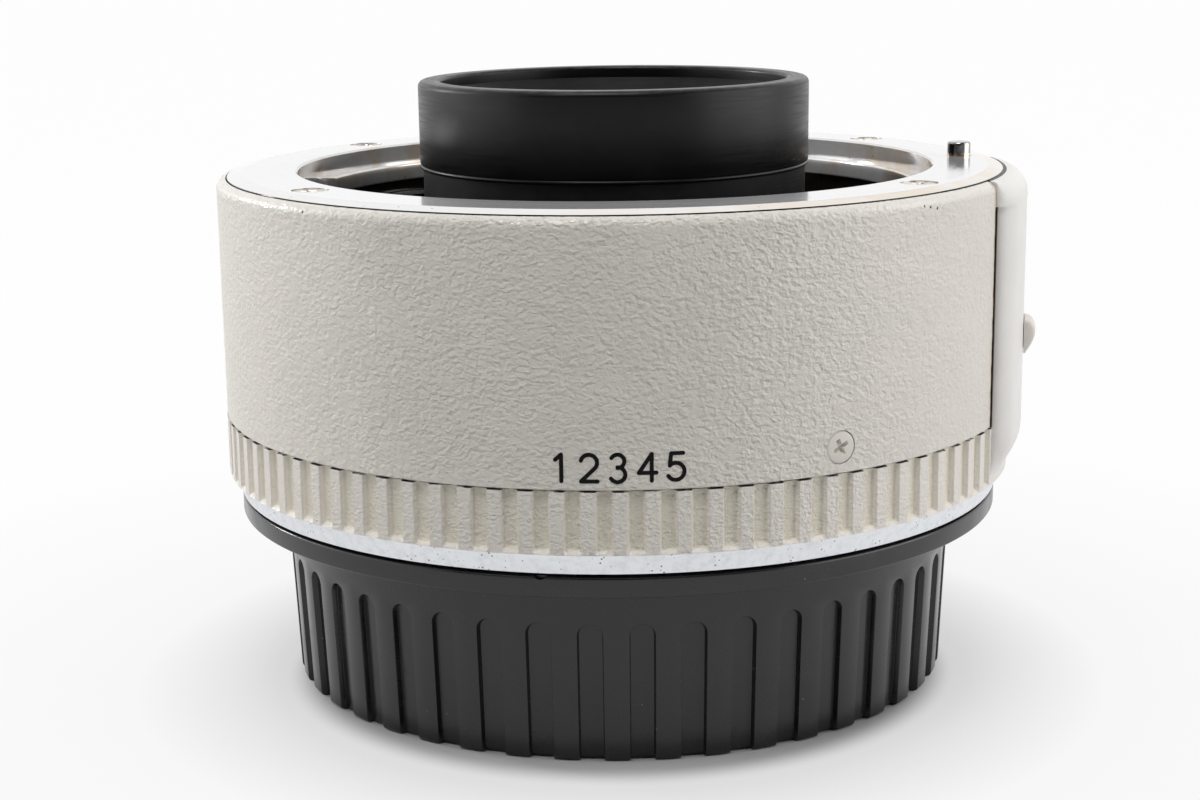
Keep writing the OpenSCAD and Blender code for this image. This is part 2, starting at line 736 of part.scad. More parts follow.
// Rear barrel: ribbed ring and release block in one casting, bored out together
module rib_grooves() {
  groove_r = (groove_w * groove_w / 4 + groove_depth * groove_depth) / (2 * groove_depth);
  for (i = [0:grip_grooves - 1])
    at(360 * i / grip_grooves, body_r - groove_depth + groove_r)
      disc(groove_r, z_band + grip_margin + groove_rise, z_grip + cut);
}
module rib_ring() {
  rotate_extrude() polygon([
    [0, z_band], [body_r - margin_in, z_band], [body_r, z_band + grip_margin], [body_r, z_grip], [0, z_grip]
  ]);
}
// A flat wedge from the axis, half an angle either side of +X
module wedge(half) {
  reach = 2 * body_r;
  polygon([[0, 0], [reach, -reach * tan(half)], [reach, reach * tan(half)]]);
}
module block_outline() {
  turn = asin(block_round / (block_r - block_round));
  intersection() {
    circle(r = block_r - block_round);
    wedge(block_half);
  }
  intersection() {
    circle(r = block_r);
    wedge(block_half - turn);
  }
  for (side = [-1, 1])
    rotate(side * (block_half - turn)) translate([block_r - block_round, 0]) circle(r = block_round);
}
module block_side() {
  z_taper = z_band + block_taper_h;
  polygon([[0, z_block], [body_r - margin_in, z_block], [block_r, z_taper], [0, z_taper]]);
  translate([0, z_taper]) square([block_r, z_top - z_taper - block_top_round]);
  translate([0, z_taper]) square([block_r - block_top_round, z_top - z_taper]);
  translate([block_r - block_top_round, z_top - block_top_round]) circle(r = block_top_round);
}
module block_solid() {
  intersection() {
    translate([0, 0, z_block]) linear_extrude(z_top - z_block) block_outline();
    rotate_extrude() block_side();
  }
}
module rear_barrel() {
  color("#cfcabf") difference() {
    union() {
      difference() {
        rib_ring();
        rib_grooves();
      }
      rotate([0, 0, block_a]) block_solid();
    }
    disc(barrel_bore, z_band - cut, far);
    disc(mount_r + run, z_seat - fit, far);
    rotate([0, 0, block_a])
      translate([0, -stem_w / 2 - run, z_stem - stem_h / 2 - release_travel - run])
        cube([far, stem_w + 2 * run, stem_h + release_travel + 2 * run]);
    at(index_a, body_r) index_hole();
  }
}

// A round pocket for an index dot, sunk from the ribbed ring's surface
module index_hole() {
  translate([-index_sink, 0, (z_band + z_grip) / 2]) rotate([0, 90, 0])
    cylinder(d = index_d + 2 * fit, h = far);
}

// Front barrel: the painted sleeve, cut away for the release block
module open_revolve(half) {
  rotate([0, 0, block_a + half]) rotate_extrude(angle = 360 - 2 * half) children();
}
module body_barrel() {
  gap_half = block_half + atan(block_gap / body_r);
  color("#d5d0c6") difference() {
    open_revolve(gap_half) difference() {
      union() {
        translate([barrel_bore, z_grip]) square([barrel_wall, z_top - z_grip - barrel_round]);
        translate([barrel_bore, z_grip]) square([barrel_wall - barrel_round, z_top - z_grip]);
        translate([body_r - barrel_round, z_top - barrel_round]) circle(r = barrel_round);
      }
      translate([0, z_seat - fit]) square([mount_r + fit, far]);
    }
    for (a = lug_angles) body_screw_place(a)
      countersunk_hole(body_screw_head, body_screw_d, barrel_wall + frame_wall);
  }
}
module body_screw_place(a) {
  at(body_screw_a + a, body_r) translate([0, 0, z_rear + body_screw_up]) rotate([0, 90, 0]) children();
}
module body_screws() {
  color("#c9c4ba") for (a = lug_angles) body_screw_place(a) translate([0, 0, -fit])
    countersunk_screw(body_screw_head, body_screw_d, barrel_wall + frame_wall - fit);
}

// Release knob: a ledge to push, on a stem through the block
module knob_side() {
  under = block_r + knob_gap;
  crest = block_r + knob_proud;
  edge = (under + crest) / 2;
  z_low = z_knob - knob_h;
  polygon([
    [under, z_low], [edge, z_low], [crest, z_low + knob_h / 2],
    [crest, z_knob - knob_h / 4], [edge, z_knob], [under, z_knob]
  ]);
}
module knob_face() {
  corner = knob_h / 3;
  square([knob_w, knob_h - 2 * corner], center = true);
  square([knob_w - 2 * corner, knob_h], center = true);
  for (x = [-1, 1], y = [-1, 1])
    translate([x * (knob_w / 2 - corner), y * (knob_h / 2 - corner)]) circle(r = corner);
}
module release_knob() {
  color("#cfc9be") rotate([0, 0, block_a]) difference() {
    union() {
      intersection() {
        rotate_extrude() knob_side();
        translate([0, 0, z_stem]) rotate([90, 0, 90]) linear_extrude(far) knob_face();
      }
      translate([0, -stem_w / 2, z_stem - stem_h / 2])
        cube([block_r + (knob_gap + knob_proud) / 2, stem_w, stem_h]);
    }
    disc(slide_r, z_knob - 2 * knob_h, z_knob + knob_h);
    knob_screw_axis() translate([0, 0, -cut])
      cylinder(d = small_d + 2 * fit, h = knob_screw_bite + fit + cut);
  }
}
module knob_screw_axis() {
  translate([slide_r, 0, z_stem]) rotate([0, 90, 0]) children();
}
module knob_screw() {
  color("#8a8a8c") rotate([0, 0, block_a]) knob_screw_axis() translate([0, 0, -slide_t]) difference() {
    union() {
      cylinder(d = small_head, h = slide_t / 2);
      cylinder(d = small_d, h = slide_t + knob_screw_bite);
    }
    rotate([180, 0, 0]) cross_recess(small_head * recess_share, slide_t / 2 * recess_share);
  }
}

// Release slide: a curved plate in the frame's pocket, with a long foot that reaches to the lock pin
module release_slide() {
  color("#6d6e72") difference() {
    union() {
      sector(slide_r - slide_t, slide_r, z_slide, z_foot, block_a, slide_half);
      sector(ring_in - run / 2, slide_r, z_foot_low, z_foot, foot_a, foot_half);
    }
    at(lock_a, lock_r) disc(lock_d / 2 + fit, z_foot_low - cut, far);
    rotate([0, 0, block_a]) knob_screw_axis() translate([0, 0, -slide_t]) {
      translate([0, 0, -cut]) cylinder(d = small_head + 2 * fit, h = slide_t / 2 + cut + fit);
      cylinder(d = small_d + 2 * fit, h = far);
    }
  }
}

// Lock pin: stands through the lens flange, with a thin guide inside the spring
module lock_pin() {
  guide_d = spring_d - spring_wire - 2 * run;
  color("#cfcfcd") at(lock_a, lock_r) {
    disc(lock_d / 2, z_foot_low, z_face + lock_up);
    disc(guide_d / 2, z_foot_low - guide_len, z_foot_low + fit);
  }
}
module release_spring() {
  color("#b9b9b7") at(lock_a, lock_r)
    coil(spring_d / 2, spring_low, spring_high, spring_wire, spring_turns);
}

// Lens bayonet: ring with a sloped rim, a skirt and three inward lugs
module front_mount() {
  z_lug = z_face - front_lug_drop;
  face_r = throat_r + front_face_w;
  color("#dcdcda") difference() {
    union() {
      rotate_extrude() polygon([
        [throat_r, z_seat], [mount_r, z_seat], [mount_r, z_face - front_rim_drop],
        [face_r, z_face], [throat_r, z_face]
      ]);
      ring(throat_r, skirt_r, z_skirt, z_seat);
      for (a = lug_angles)
        sector(front_lug_r, throat_r + fit, z_lug - front_lug_t, z_lug, front_lug_a + a, front_lug_half);
    }
    for (a = mount_screw_angles)
      at(a, screw_r) translate([0, 0, z_face])
        countersunk_hole(mount_screw_head, mount_screw_d, mount_screw_len);
    at(lock_a, lock_r) disc(lock_d / 2 + slide_fit, z_skirt - cut, far);
    at(index_a, screw_r) disc(index_d / 2 + fit, z_face - index_t, far);
  }
}
module front_mount_screws() {
  color("#d2d0cb") for (a = mount_screw_angles)
    at(a, screw_r) translate([0, 0, z_face - fit])
      countersunk_screw(mount_screw_head, mount_screw_d, mount_screw_len - fit);
}

// Mount spring: a thin ring under the skirt with a bowed leaf below each lug
module leaf_foot(middle) {
  rotate(middle) intersection() {
    difference() {
      circle(r = throat_r + fit);
      circle(r = front_lug_r + run);
    }
    wedge(leaf_foot_half);
  }
}
module mount_spring() {
  leaf_r = leaf_len * leaf_len / (8 * leaf_rise) + leaf_rise / 2;
  leaf_in = front_lug_r + run;
  z_ring = z_skirt - leaf_t;
  leaf_half = asin(leaf_len / 2 / leaf_in);
  color("#c9c6bc") union() {
    translate([0, 0, z_ring]) linear_extrude(leaf_t) {
      difference() {
        circle(r = skirt_r);
        circle(r = throat_r);
      }
      for (a = lug_angles, side = [-1, 1])
        leaf_foot(front_lug_a + a + side * (leaf_half - leaf_foot_half / 2));
    }
    for (a = lug_angles) intersection() {
      sector(leaf_in + fit, throat_r - run, z_ring + leaf_t / 3, z_skirt + leaf_rise + cut,
        front_lug_a + a, leaf_half);
      rotate([0, 0, front_lug_a + a]) translate([0, 0, z_skirt + leaf_rise - leaf_r])
        rotate([0, 90, 0]) difference() {
          cylinder(r = leaf_r, h = body_r);
          cylinder(r = leaf_r - leaf_t, h = body_r);
        }
    }
  }
}

// Front baffle: the black floor and wall of the well round the hood
module front_baffle() {
  out = skirt_r - run / 2;
  color("#1f1f21") difference() {
    union() {
      ring(cell_r + run, out, z_well - baffle_t, z_well);
      ring(out - baffle_wall, out, z_shelf, z_skirt - leaf_t);
    }
    circuit_slot(z_well - baffle_t, z_well);
  }
}

// Sprung contacts in their block, on the floor of the well
module front_contact_block() {
  color("#1e1e20") difference() {
    contact_bar(z_well, z_tip_block);
    each_contact() {
      disc(collar_d / 2 + 2 * slide_fit, z_well - cut, z_roof);
      disc(tip_d / 2 + 2 * slide_fit, z_well - cut, far);
    }
  }
}
module contact_pins() {
  color("#d9b45a") each_contact() {
    disc(collar_d / 2, z_roof - fit - collar_h, z_roof - fit);
    disc(tip_d / 2, z_roof - fit - collar_h, z_tip - tip_d / 2);
    translate([0, 0, z_tip - tip_d / 2]) sphere(d = tip_d);
  }
}

// Lens cell: one tube with a front bore, a web, a rear bore and a seating flange
module lens_cell() {
  color("#1c1c1e") difference() {
    union() {
      disc(cell_r, z_shelf, z_hood);
      disc(neck_r - fit, z_shelf, z_neck);
      disc(cell_flange_r, z_shelf, z_shelf + cell_flange_t);
      disc(tail_r, z_tail, z_shelf);
    }
    disc(front_bore, z_web_top, far);
    disc(web_d / 2, z_tail, far);
    circuit_slot(z_shelf, z_shelf + cell_flange_t);
    disc(tail_bore, z_tail - cut, z_web);
    translate([0, 0, z_neck - mouth_chamfer])
      cylinder(r1 = front_bore, r2 = front_bore + mouth_chamfer, h = mouth_chamfer);
    for (a = cell_screw_angles)
      at(a, cell_screw_r) disc(small_d / 2 + fit, z_shelf - cut, z_shelf + cell_flange_t + cut);
  }
}
module lens_cell_screws() {
  color("#9a9a9c") for (a = cell_screw_angles)
    at(a, cell_screw_r) translate([0, 0, z_shelf + cell_flange_t]) pan_screw(cell_flange_t + shelf_t);
}

// Front hood: a sleeve over the cell's neck with a rounded rim turned in over it
module front_hood() {
  color("#29292b") rotate_extrude() difference() {
    union() {
      translate([0, z_hood]) square([hood_r, hood_h - hood_round]);
      translate([0, z_hood]) square([hood_r - hood_round, hood_h]);
      translate([hood_r - hood_round, z_rim - hood_round]) circle(r = hood_round);
    }
    translate([0, z_hood - cut]) square([neck_r, hood_h - hood_rim_t + cut]);
    translate([0, z_hood]) square([hood_r - hood_rim_w, far]);
  }
}

// Retaining rings: thin rings with two spanner slots
module retaining_ring(r_out, low, high) {
  difference() {
    ring(r_out - retainer_w, r_out, low, high);
    translate([-far, -spanner_w / 2, (low + high) / 2]) cube([2 * far, spanner_w, far]);
  }
}
module front_retaining_ring() {
  color("#232325") retaining_ring(glass_r, z_ring_low, z_ring_top);
}
module rear_retaining_ring() {
  color("#232325") mirror([0, 0, 1]) retaining_ring(tail_glass_r, -z_tail_ring_top, -z_tail_ring);
}

// Glass and spacers, front to rear
module glass() {
  color([0.55, 0.7, 0.75, 0.4]) children();
}
module front_lens() {
  glass() bulging_lens(glass_r, z_front_low, z_front_top, front_back_curve, front_curve);
}
module front_spacer() {
  color("#1a1a1c") ring(glass_r - spacer_w, glass_r, z_second_top, z_spacer_top);
}
module second_lens() {
  glass() hollow_lens(glass_r, z_web_top, z_second_top,
    web_d / 2, second_back_curve, glass_r, second_top_curve);
}
module pair_front_lens() {
  glass() bulging_lens(tail_glass_r, z_pair_mid, z_pair_top, pair_inner_curve, pair_top_curve);
}
module pair_rear_lens() {
  glass() hollow_lens(tail_glass_r, z_pair_low, z_pair_mid - cement_t,
    tail_glass_r - spacer_w, pair_back_curve, tail_glass_r, pair_inner_curve);
}
module rear_spacer() {
  color("#1a1a1c") ring(tail_glass_r - spacer_w, tail_glass_r, z_spacer_low, z_pair_low);
}
module rear_lens() {
  glass() bulging_lens(tail_glass_r, z_rear_low, z_rear_top, rear_back_curve, rear_curve);
}

// Index dots: one in the lens flange, one in the ribbed ring
module index_dots() {
  color("#b3202a") {
    at(index_a, screw_r) disc(index_d / 2, z_face - index_t, z_face - fit);
    at(index_a, body_r) translate([-index_sink, 0, (z_band + z_grip) / 2]) rotate([0, 90, 0])
      cylinder(d = index_d, h = index_sink);
  }
}

rear_cap();
rear_mount();
rear_mount_screws();
rear_baffle();
rear_baffle_screws();
rear_contact_block();
rear_contacts();
main_frame();
rear_barrel();
body_barrel();
body_screws();
release_knob();
knob_screw();
release_slide();
lock_pin();
release_spring();
front_mount();
front_mount_screws();
mount_spring();
front_baffle();
front_contact_block();
contact_pins();
flex_circuit();
lens_cell();
lens_cell_screws();
front_hood();
front_retaining_ring();
front_lens();
front_spacer();
second_lens();
pair_front_lens();
pair_rear_lens();
rear_spacer();
rear_lens();
rear_retaining_ring();
index_dots();
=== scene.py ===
"""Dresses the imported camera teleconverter: its visible pieces, their finishes, and the studio."""

import math

import bmesh
import bpy
from bpy.props import (
    FloatProperty, FloatVectorProperty, IntProperty, PointerProperty, StringProperty,
)
from mathutils import Matrix, Vector, noise


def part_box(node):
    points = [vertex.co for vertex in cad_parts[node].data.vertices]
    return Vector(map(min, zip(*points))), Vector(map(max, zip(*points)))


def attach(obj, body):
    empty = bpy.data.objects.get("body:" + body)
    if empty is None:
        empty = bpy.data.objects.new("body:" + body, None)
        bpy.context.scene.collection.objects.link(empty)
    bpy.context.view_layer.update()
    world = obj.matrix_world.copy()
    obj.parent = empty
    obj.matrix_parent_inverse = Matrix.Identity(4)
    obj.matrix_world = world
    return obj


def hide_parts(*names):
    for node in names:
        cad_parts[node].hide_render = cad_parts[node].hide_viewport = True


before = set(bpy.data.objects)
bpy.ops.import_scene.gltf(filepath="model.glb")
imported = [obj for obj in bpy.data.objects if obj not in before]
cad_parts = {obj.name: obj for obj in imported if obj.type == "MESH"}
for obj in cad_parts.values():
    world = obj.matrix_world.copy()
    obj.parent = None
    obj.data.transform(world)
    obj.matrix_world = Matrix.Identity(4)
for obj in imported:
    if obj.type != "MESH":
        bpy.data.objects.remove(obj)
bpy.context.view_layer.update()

bl_info = {
    "name": "Teleconverter Dressing",
    "version": (1, 0, 0),
    "blender": (4, 5, 0),
    "location": "3D View > Sidebar > Converter",
    "description": "Builds the teleconverter's visible pieces, finishes and studio round its packed frame",
    "category": "Object",
}

MM = 0.001
TURN = 2 * math.pi
WELD = 0.001 * MM
CONVERTER, RELEASE, CAP = "converter", "release", "cap"
MOUNT_SCREWS = [math.radians(a) for a in (37, 142, 217, 323)]
DIGIT_WIDE = 0.62
ROD_STEPS = 48
SLOT_SIDE, SLOT_CORNER = 8, 4

# Linear colours of wear and dirt, and of painted shade, highlight and reflection
# Painted shade: black in gaps, seams and recesses
GAP_SHADE_BLACK = (0.012, 0.012, 0.012, 1.0)
# Painted shade on the bayonet's outer rim wall, and black below its well
WELL_AND_RIM_SHADE_BLACK = (0.02, 0.016, 0.013, 1.0)
RUBBED_BLACK = (0.05, 0.05, 0.05, 1.0)
CHIP = (0.02, 0.018, 0.016, 1.0)
PRIMER = (0.62, 0.45, 0.30, 1.0)
# Painted highlight on the groove edges
PAINTED_EDGE_HIGHLIGHT = (0.92, 0.88, 0.80, 1.0)
SPECK = (0.13, 0.12, 0.11, 1.0)
# Worn bevel, with a painted warm reflection toward +X
WORN_BEVEL_AND_REFLECTION = (0.80, 0.69, 0.56, 1.0)
# Painted warm reflection in the bayonet's throat
PAINTED_THROAT_REFLECTION = (0.78, 0.70, 0.61, 1.0)
RUST = (0.16, 0.10, 0.07, 1.0)
DUST = (0.3, 0.29, 0.27, 1.0)
COPPER = (0.82, 0.60, 0.44, 1.0)
COPPER_TRACK = (0.62, 0.30, 0.10, 1.0)

# White added to the floor between two distances from the object: (from, to, share, smooth)
FLOOR_WHITE = (
    (25.5 * MM, 29.2 * MM, 0.58, True), (30 * MM, 42 * MM, 0.3, False), (42 * MM, 90 * MM, 0.1, False))


def foot(node):
    """Lowest level of a CAD node."""
    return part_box(node)[0].z


def top(node):
    """Highest level of a CAD node."""
    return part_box(node)[1].z


def middle(node):
    """Middle level of a CAD node."""
    return (foot(node) + top(node)) / 2


def reach(node):
    """Outside radius of a round CAD node."""
    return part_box(node)[1].y


# Properties

def length(label, about, mm):
    """A length property with its default in millimetres."""
    return FloatProperty(name=label, description=about, default=mm * MM, min=0.0, precision=5, unit="LENGTH")


def angle(label, about, degrees):
    """An angle property with its default in degrees."""
    return FloatProperty(name=label, description=about, default=math.radians(degrees), subtype="ANGLE")


def number(label, about, default):
    """A whole number of like features."""
    return IntProperty(name=label, description=about, default=default, min=1)


def factor(label, about, default):
    """A plain share or strength."""
    return FloatProperty(name=label, description=about, default=default, min=0.0)


def colour(label, about, red, green, blue):
    """A linear colour property."""
    return FloatVectorProperty(
        name=label, description=about, default=(red, green, blue), min=0.0, max=1.0, subtype="COLOR")


class BarrelSizes(bpy.types.PropertyGroup):
    """The painted sleeve round the body."""
    grid: length("Grid", "Spacing of the points on the painted wall", 0.2)
    edge: length("Top edge", "Rounding of the wall's top edge", 0.75)
    lip: length("Lip", "Width of the wall's rim outside the bayonet ring", 0.8)
    wall: length("Wall", "Thickness of the wall", 1.6)
    rebate: length("Rebate", "Depth of the bayonet ring's seat below the wall's top", 2.0)
    foot_edge: length("Foot edge", "Rounding of the wall's foot", 0.08)
    cut_edge: length("Cut edge", "Rounding of the upright edges beside the release block", 0.12)
    wrinkle: length("Wrinkle", "Size of a swell in the paint", 0.8)
    relief: length("Relief", "Depth of the swells", 0.035)
    skin: length("Skin", "Least depth of the paint below the wall's full radius", 0.012)


class RingSizes(bpy.types.PropertyGroup):
    """The ribbed ring under the sleeve."""
    count: number("Grooves", "Grooves round the ring", 90)
    first: angle("First groove", "Place of the first groove", 0.3)
    groove: length("Groove", "Width of a groove", 1.4)
    depth: length("Depth", "Depth of a groove", 0.42)
    wall: length("Wall", "Width of a groove's sloped side", 0.22)
    run_out: length("Run-out", "Height over which a groove's foot runs out", 0.45)
    margin: length("Margin", "Height of the sloped margin at the ring's foot", 0.08)
    margin_in: length("Margin slope", "How far the margin slopes in", 0.25)
    seam: length("Seam", "Hairline gap under the painted sleeve", 0.1)
    seam_depth: length("Seam depth", "How far the hairline gap goes in", 0.7)


class BlockSizes(bpy.types.PropertyGroup):
    """The release block on the barrel's side."""
    middle: angle("Middle", "Middle of the block from +X", -10)
    half: angle("Half", "Half of the block's angle", 16)
    gap: length("Gap", "Gap between the block and the painted sleeve", 0.3)
    upright: length("Upright edge", "Length over which the upright edges rise", 2.6)
    crown: length("Crown", "Height of the rounded top", 1.8)
    taper: length("Taper", "Height of the taper at the foot", 3.6)
    recess: length("Recess", "Gap between the block's top and the bayonet ring", 0.26)


class KnobSizes(bpy.types.PropertyGroup):
    """The release knob on the block."""
    width: length("Width", "Width of the knob", 3.8)
    proud: length("Proud", "Height of the crest above the block", 0.98)
    trim: length("Trim", "How far the knob's foot is above its CAD node's", 0.6)
    under: length("Under", "Gap between the knob and the block", 0.06)
    rim: length("Rim", "Thickness of the knob's edge", 0.12)
    crest: factor("Crest", "Place of the crest, as a share of the knob's height", 0.66)
    stem_w: length("Stem width", "Width of the stem", 2.6)
    stem_h: length("Stem height", "Height of the stem", 0.9)
    stem_drop: length("Stem drop", "Depth of the stem's top below the knob's upper edge", 0.45)
    travel: length("Travel", "How far the knob is pressed", 2.2)
    play: length("Play", "Room round the stem in its slot", 0.08)
    skin: length("Skin", "Thickness of the block outside the hollow for the knob's screw", 0.55)


class CapSizes(bpy.types.PropertyGroup):
    """The rear cap."""
    count: number("Slots", "Grip slots round the wall", 45)
    first: angle("First slot", "Place of the first slot", 1.5)
    slot: length("Slot", "Width of a slot", 2.0)
    depth: length("Depth", "Depth of a slot", 0.5)
    slot_top: length("Slot top", "Height of the slots' round tops", 11.3)
    wall: length("Wall", "Outside radius of the wall at its foot", 28.4)
    widening: length("Widening", "How much wider the wall is under the rim", 0.62)
    line: length("Line", "Depth of the fine line between wall and rim", 0.07)
    rim: length("Rim", "Thickness of the rim", 1.6)
    slope: length("Slope", "Height of the slope between wall and rim", 0.8)
    rim_edge: length("Rim edge", "Rounding of the rim's edges", 0.18)
    foot_edge: length("Foot edge", "Rounding of the foot", 0.4)
    bore: length("Bore", "Inside radius of the wall", 26.95)
    floor: length("Floor", "Thickness of the floor", 1.8)


class MountSizes(bpy.types.PropertyGroup):
    """The lens bayonet ring."""
    face: length("Face", "Outside radius of the flat face", 31.6)
    throat: length("Throat", "Radius of the throat", 27.0)
    skirt: length("Skirt", "Outside radius of the skirt", 28.4)
    plate: length("Plate", "Thickness of the ring's plate", 2.2)
    drop: length("Drop", "Drop of the sloped rim", 0.25)
    edge: length("Edge", "Rounding of the outer edge", 0.07)
    mouth: length("Mouth", "Chamfer at the throat's mouth", 0.16)
    lug: length("Lug", "Radius inside the lugs", 25.6)
    lug_drop: length("Lug drop", "Depth of the lugs below the face", 1.7)
    lug_t: length("Lug thickness", "Thickness of the lugs", 1.5)
    lug_first: angle("First lug", "Middle of the first lug", 18)
    lug_half: angle("Lug half", "Half of a lug's angle", 30)
    lug_edge: length("Lug edge", "Rounding of the lugs' edges", 0.18)
    screw_ring: length("Screw ring", "Radius of the ring of screws", 29.7)
    screw_head: length("Screw head", "Radius of a screw's head", 1.45)
    dot: length("Dot", "Radius of the index dot's hole", 1.15)


class HoodSizes(bpy.types.PropertyGroup):
    """The black hood round the front glass."""
    round: length("Round", "Rounding of the rim's outer edge", 0.5)
    rim: length("Rim", "Inside radius of the rim", 14.73)
    rim_t: length("Rim thickness", "Thickness of the rim", 1.0)
    rim_in: length("Rim inside", "Rounding of the rim's inner edge", 0.3)
    sleeve: length("Sleeve", "Inside radius of the sleeve", 15.33)
    lip: length("Lip", "Height of the bead at the foot", 0.35)
    lip_groove: length("Lip groove", "Depth of the fine groove over that bead", 0.08)
    curve: length("Glass curve", "Radius of the front glass", 46.0)


class ScrewSizes(bpy.types.PropertyGroup):
    """The barrel's screws and the cross recess of all screws."""
    head: length("Head", "Radius of a barrel screw's head", 1.25)
    deep: length("Head depth", "Thickness of a screw's head", 0.5)
    sunk: length("Sunk", "How far the heads sit below the surface", 0.05)
    first: angle("First", "Place of the first barrel screw", -60.5)
    recess: length("Recess", "Depth of the cross recess", 0.42)
    turn: angle("Turn", "Turn of the cross recess", 25)


class NumberSizes(bpy.types.PropertyGroup):
    """The plain number printed on the barrel."""
    digits: StringProperty(name="Digits", description="A plain row of digits", default="12345")
    height: length("Height", "Height of a digit", 2.0)
    stroke: length("Stroke", "Width of a stroke", 0.3)
    foot: length("Foot", "Foot of the digits above the sleeve's foot", 0.72)
    start: angle("Start", "Left end of the row", -98.2)
    end: angle("End", "Right end of the row", -81.7)


class Colours(bpy.types.PropertyGroup):
    """Base colours of the finishes."""
    barrel: colour("Barrel paint", "Wrinkled paint of the sleeve, its screws and the knob", 0.80, 0.76, 0.695)
    ring: colour("Ring paint", "Paint of the ribbed ring", 0.86, 0.815, 0.75)
    groove: colour("Groove paint", "Yellowed paint in the grooves", 0.85, 0.80, 0.69)
    block: colour("Block paint", "Paint of the release block", 0.86, 0.84, 0.81)
    band: colour("Band", "Satin steel of the camera flange", 0.80, 0.82, 0.85)
    chrome: colour("Chrome", "Bright metal of the lens bayonet", 0.85, 0.85, 0.86)
    cap: colour("Cap plastic", "Black plastic of the rear cap", 0.013, 0.013, 0.0145)
    hood: colour("Hood black", "Matt black of the hood", 0.003, 0.003, 0.0034)
    gold: colour("Gold", "Gilt contacts", 0.83, 0.60, 0.26)
    red: colour("Index red", "Index dots", 0.55, 0.03, 0.02)


class Studio(bpy.types.PropertyGroup):
    """Camera, lights and floor."""
    lens: factor("Lens", "Focal length in millimetres on a 36 mm sensor", 64.195)
    far: length("Distance", "Camera's distance from its aim", 188.54)
    aim: length("Aim", "Height of the camera's aim", 22.45)
    pitch: angle("Pitch", "How far the camera looks down", 12.4125)
    yaw: angle("Yaw", "How far the camera turns to the left", 0.4521)
    roll: angle("Roll", "How far the camera leans", 0.6618)
    side: factor("Side light", "Power of the two side lights in watts", 0.5)
    over: factor("Top light", "Power of the top light in watts", 1.3)
    key: factor("Key light", "Power of the small light at the upper left, in watts", 0.2)
    edge: factor("Edge light", "Power of the small light that catches the top edge, in watts", 0.5)
    room: factor("Room", "Strength of the room's own light", 0.75)
    floor: colour("Floor", "Pale paper of the floor", 0.48, 0.48, 0.484)


class ConverterSettings(bpy.types.PropertyGroup):
    """All sizes, colours and studio values."""
    barrel: PointerProperty(type=BarrelSizes)
    ring: PointerProperty(type=RingSizes)
    block: PointerProperty(type=BlockSizes)
    knob: PointerProperty(type=KnobSizes)
    cap: PointerProperty(type=CapSizes)
    mount: PointerProperty(type=MountSizes)
    hood: PointerProperty(type=HoodSizes)
    screw: PointerProperty(type=ScrewSizes)
    number: PointerProperty(type=NumberSizes)
    colours: PointerProperty(type=Colours)
    studio: PointerProperty(type=Studio)


# Shapes

def polar(radius, turn, level):
    """A point at a radius, a turn round the axis and a level."""
    return (radius * math.cos(turn), radius * math.sin(turn), level)


def steps(start, end, count):
    """Evenly spaced values from start to end, both included."""
    return [start + (end - start) * i / count for i in range(count + 1)]


def arc(radius, level, size, start, end, count=6):
    """Points of a profile along an arc, with angles in degrees from outward."""
    return [(radius + size * math.cos(a), level + size * math.sin(a))
            for a in steps(math.radians(start), math.radians(end), count)]


class Shell:
    """Points and faces of a piece while it is made."""

    def __init__(self):
        self.points = []
        self.faces = []

    def row(self, points):
        """Add a row of points and give their numbers."""
        first = len(self.points)
        self.points.extend(points)
        return list(range(first, len(self.points)))

    def band(self, low, high, closed=True):
        """Join two rows with a band of faces."""
        for i in range(len(low) if closed else len(low) - 1):
            j = (i + 1) % len(low)
            self.faces.append((low[i], low[j], high[j], high[i]))

    def skin(self, rows, closed=True):
        """Join each row to the next."""
        for low, high in zip(rows, rows[1:]):
            self.band(low, high, closed)

    def lid(self, row):
        """Close a row with one face."""
        self.faces.append(tuple(row))

    def tube(self, rows):
        """Join each row to the next and close both ends."""
        self.skin(rows)
        self.lid(rows[0])
        self.lid(rows[-1])

    def add(self, other, matrix):
        """Take in a moved copy of another shell."""
        first = len(self.points)
        self.points.extend(tuple(matrix @ Vector(p)) for p in other.points)
        self.faces.extend(tuple(first + i for i in face) for face in other.faces)


def revolve(shell, profile, turns, whole=True, relief=None):
    """Turn a closed profile of (radius, level) about the axis; a part turn gets flat ends."""
    rows = []
    for radius, level in profile:
        sunk = [relief(radius, level, t) if relief else 0.0 for t in turns]
        rows.append(shell.row([polar(radius - s, t, level) for t, s in zip(turns, sunk)]))
    shell.skin(rows + rows[:1], whole)
    if not whole:
        shell.lid([row[0] for row in rows])
        shell.lid([row[-1] for row in reversed(rows)])


def full_turn(count):
    """Turns once round the axis."""
    return steps(0.0, TURN, count)[:-1]


def mark_creases(piece, degrees):
    """Shade a piece smooth, with sharp edges where its faces meet at more than an angle."""
    piece.data.shade_smooth()
    piece.data.set_sharp_from_angle(angle=math.radians(degrees))


def make_piece(shell, name, crease=30.0):
    """Turn a shell into a mesh object with welded points and outward faces."""
    mesh = bpy.data.meshes.new(name)
    mesh.from_pydata(shell.points, [], shell.faces)
    work = bmesh.new()
    work.from_mesh(mesh)
    bmesh.ops.remove_doubles(work, verts=work.verts, dist=WELD)
    bmesh.ops.recalc_face_normals(work, faces=work.faces)
    work.to_mesh(mesh)
    work.free()
    if not mesh.polygons:
        raise RuntimeError(f"{name} has no faces")
    piece = bpy.data.objects.new(name, mesh)
    bpy.context.scene.collection.objects.link(piece)
    mark_creases(piece, crease)
    return piece


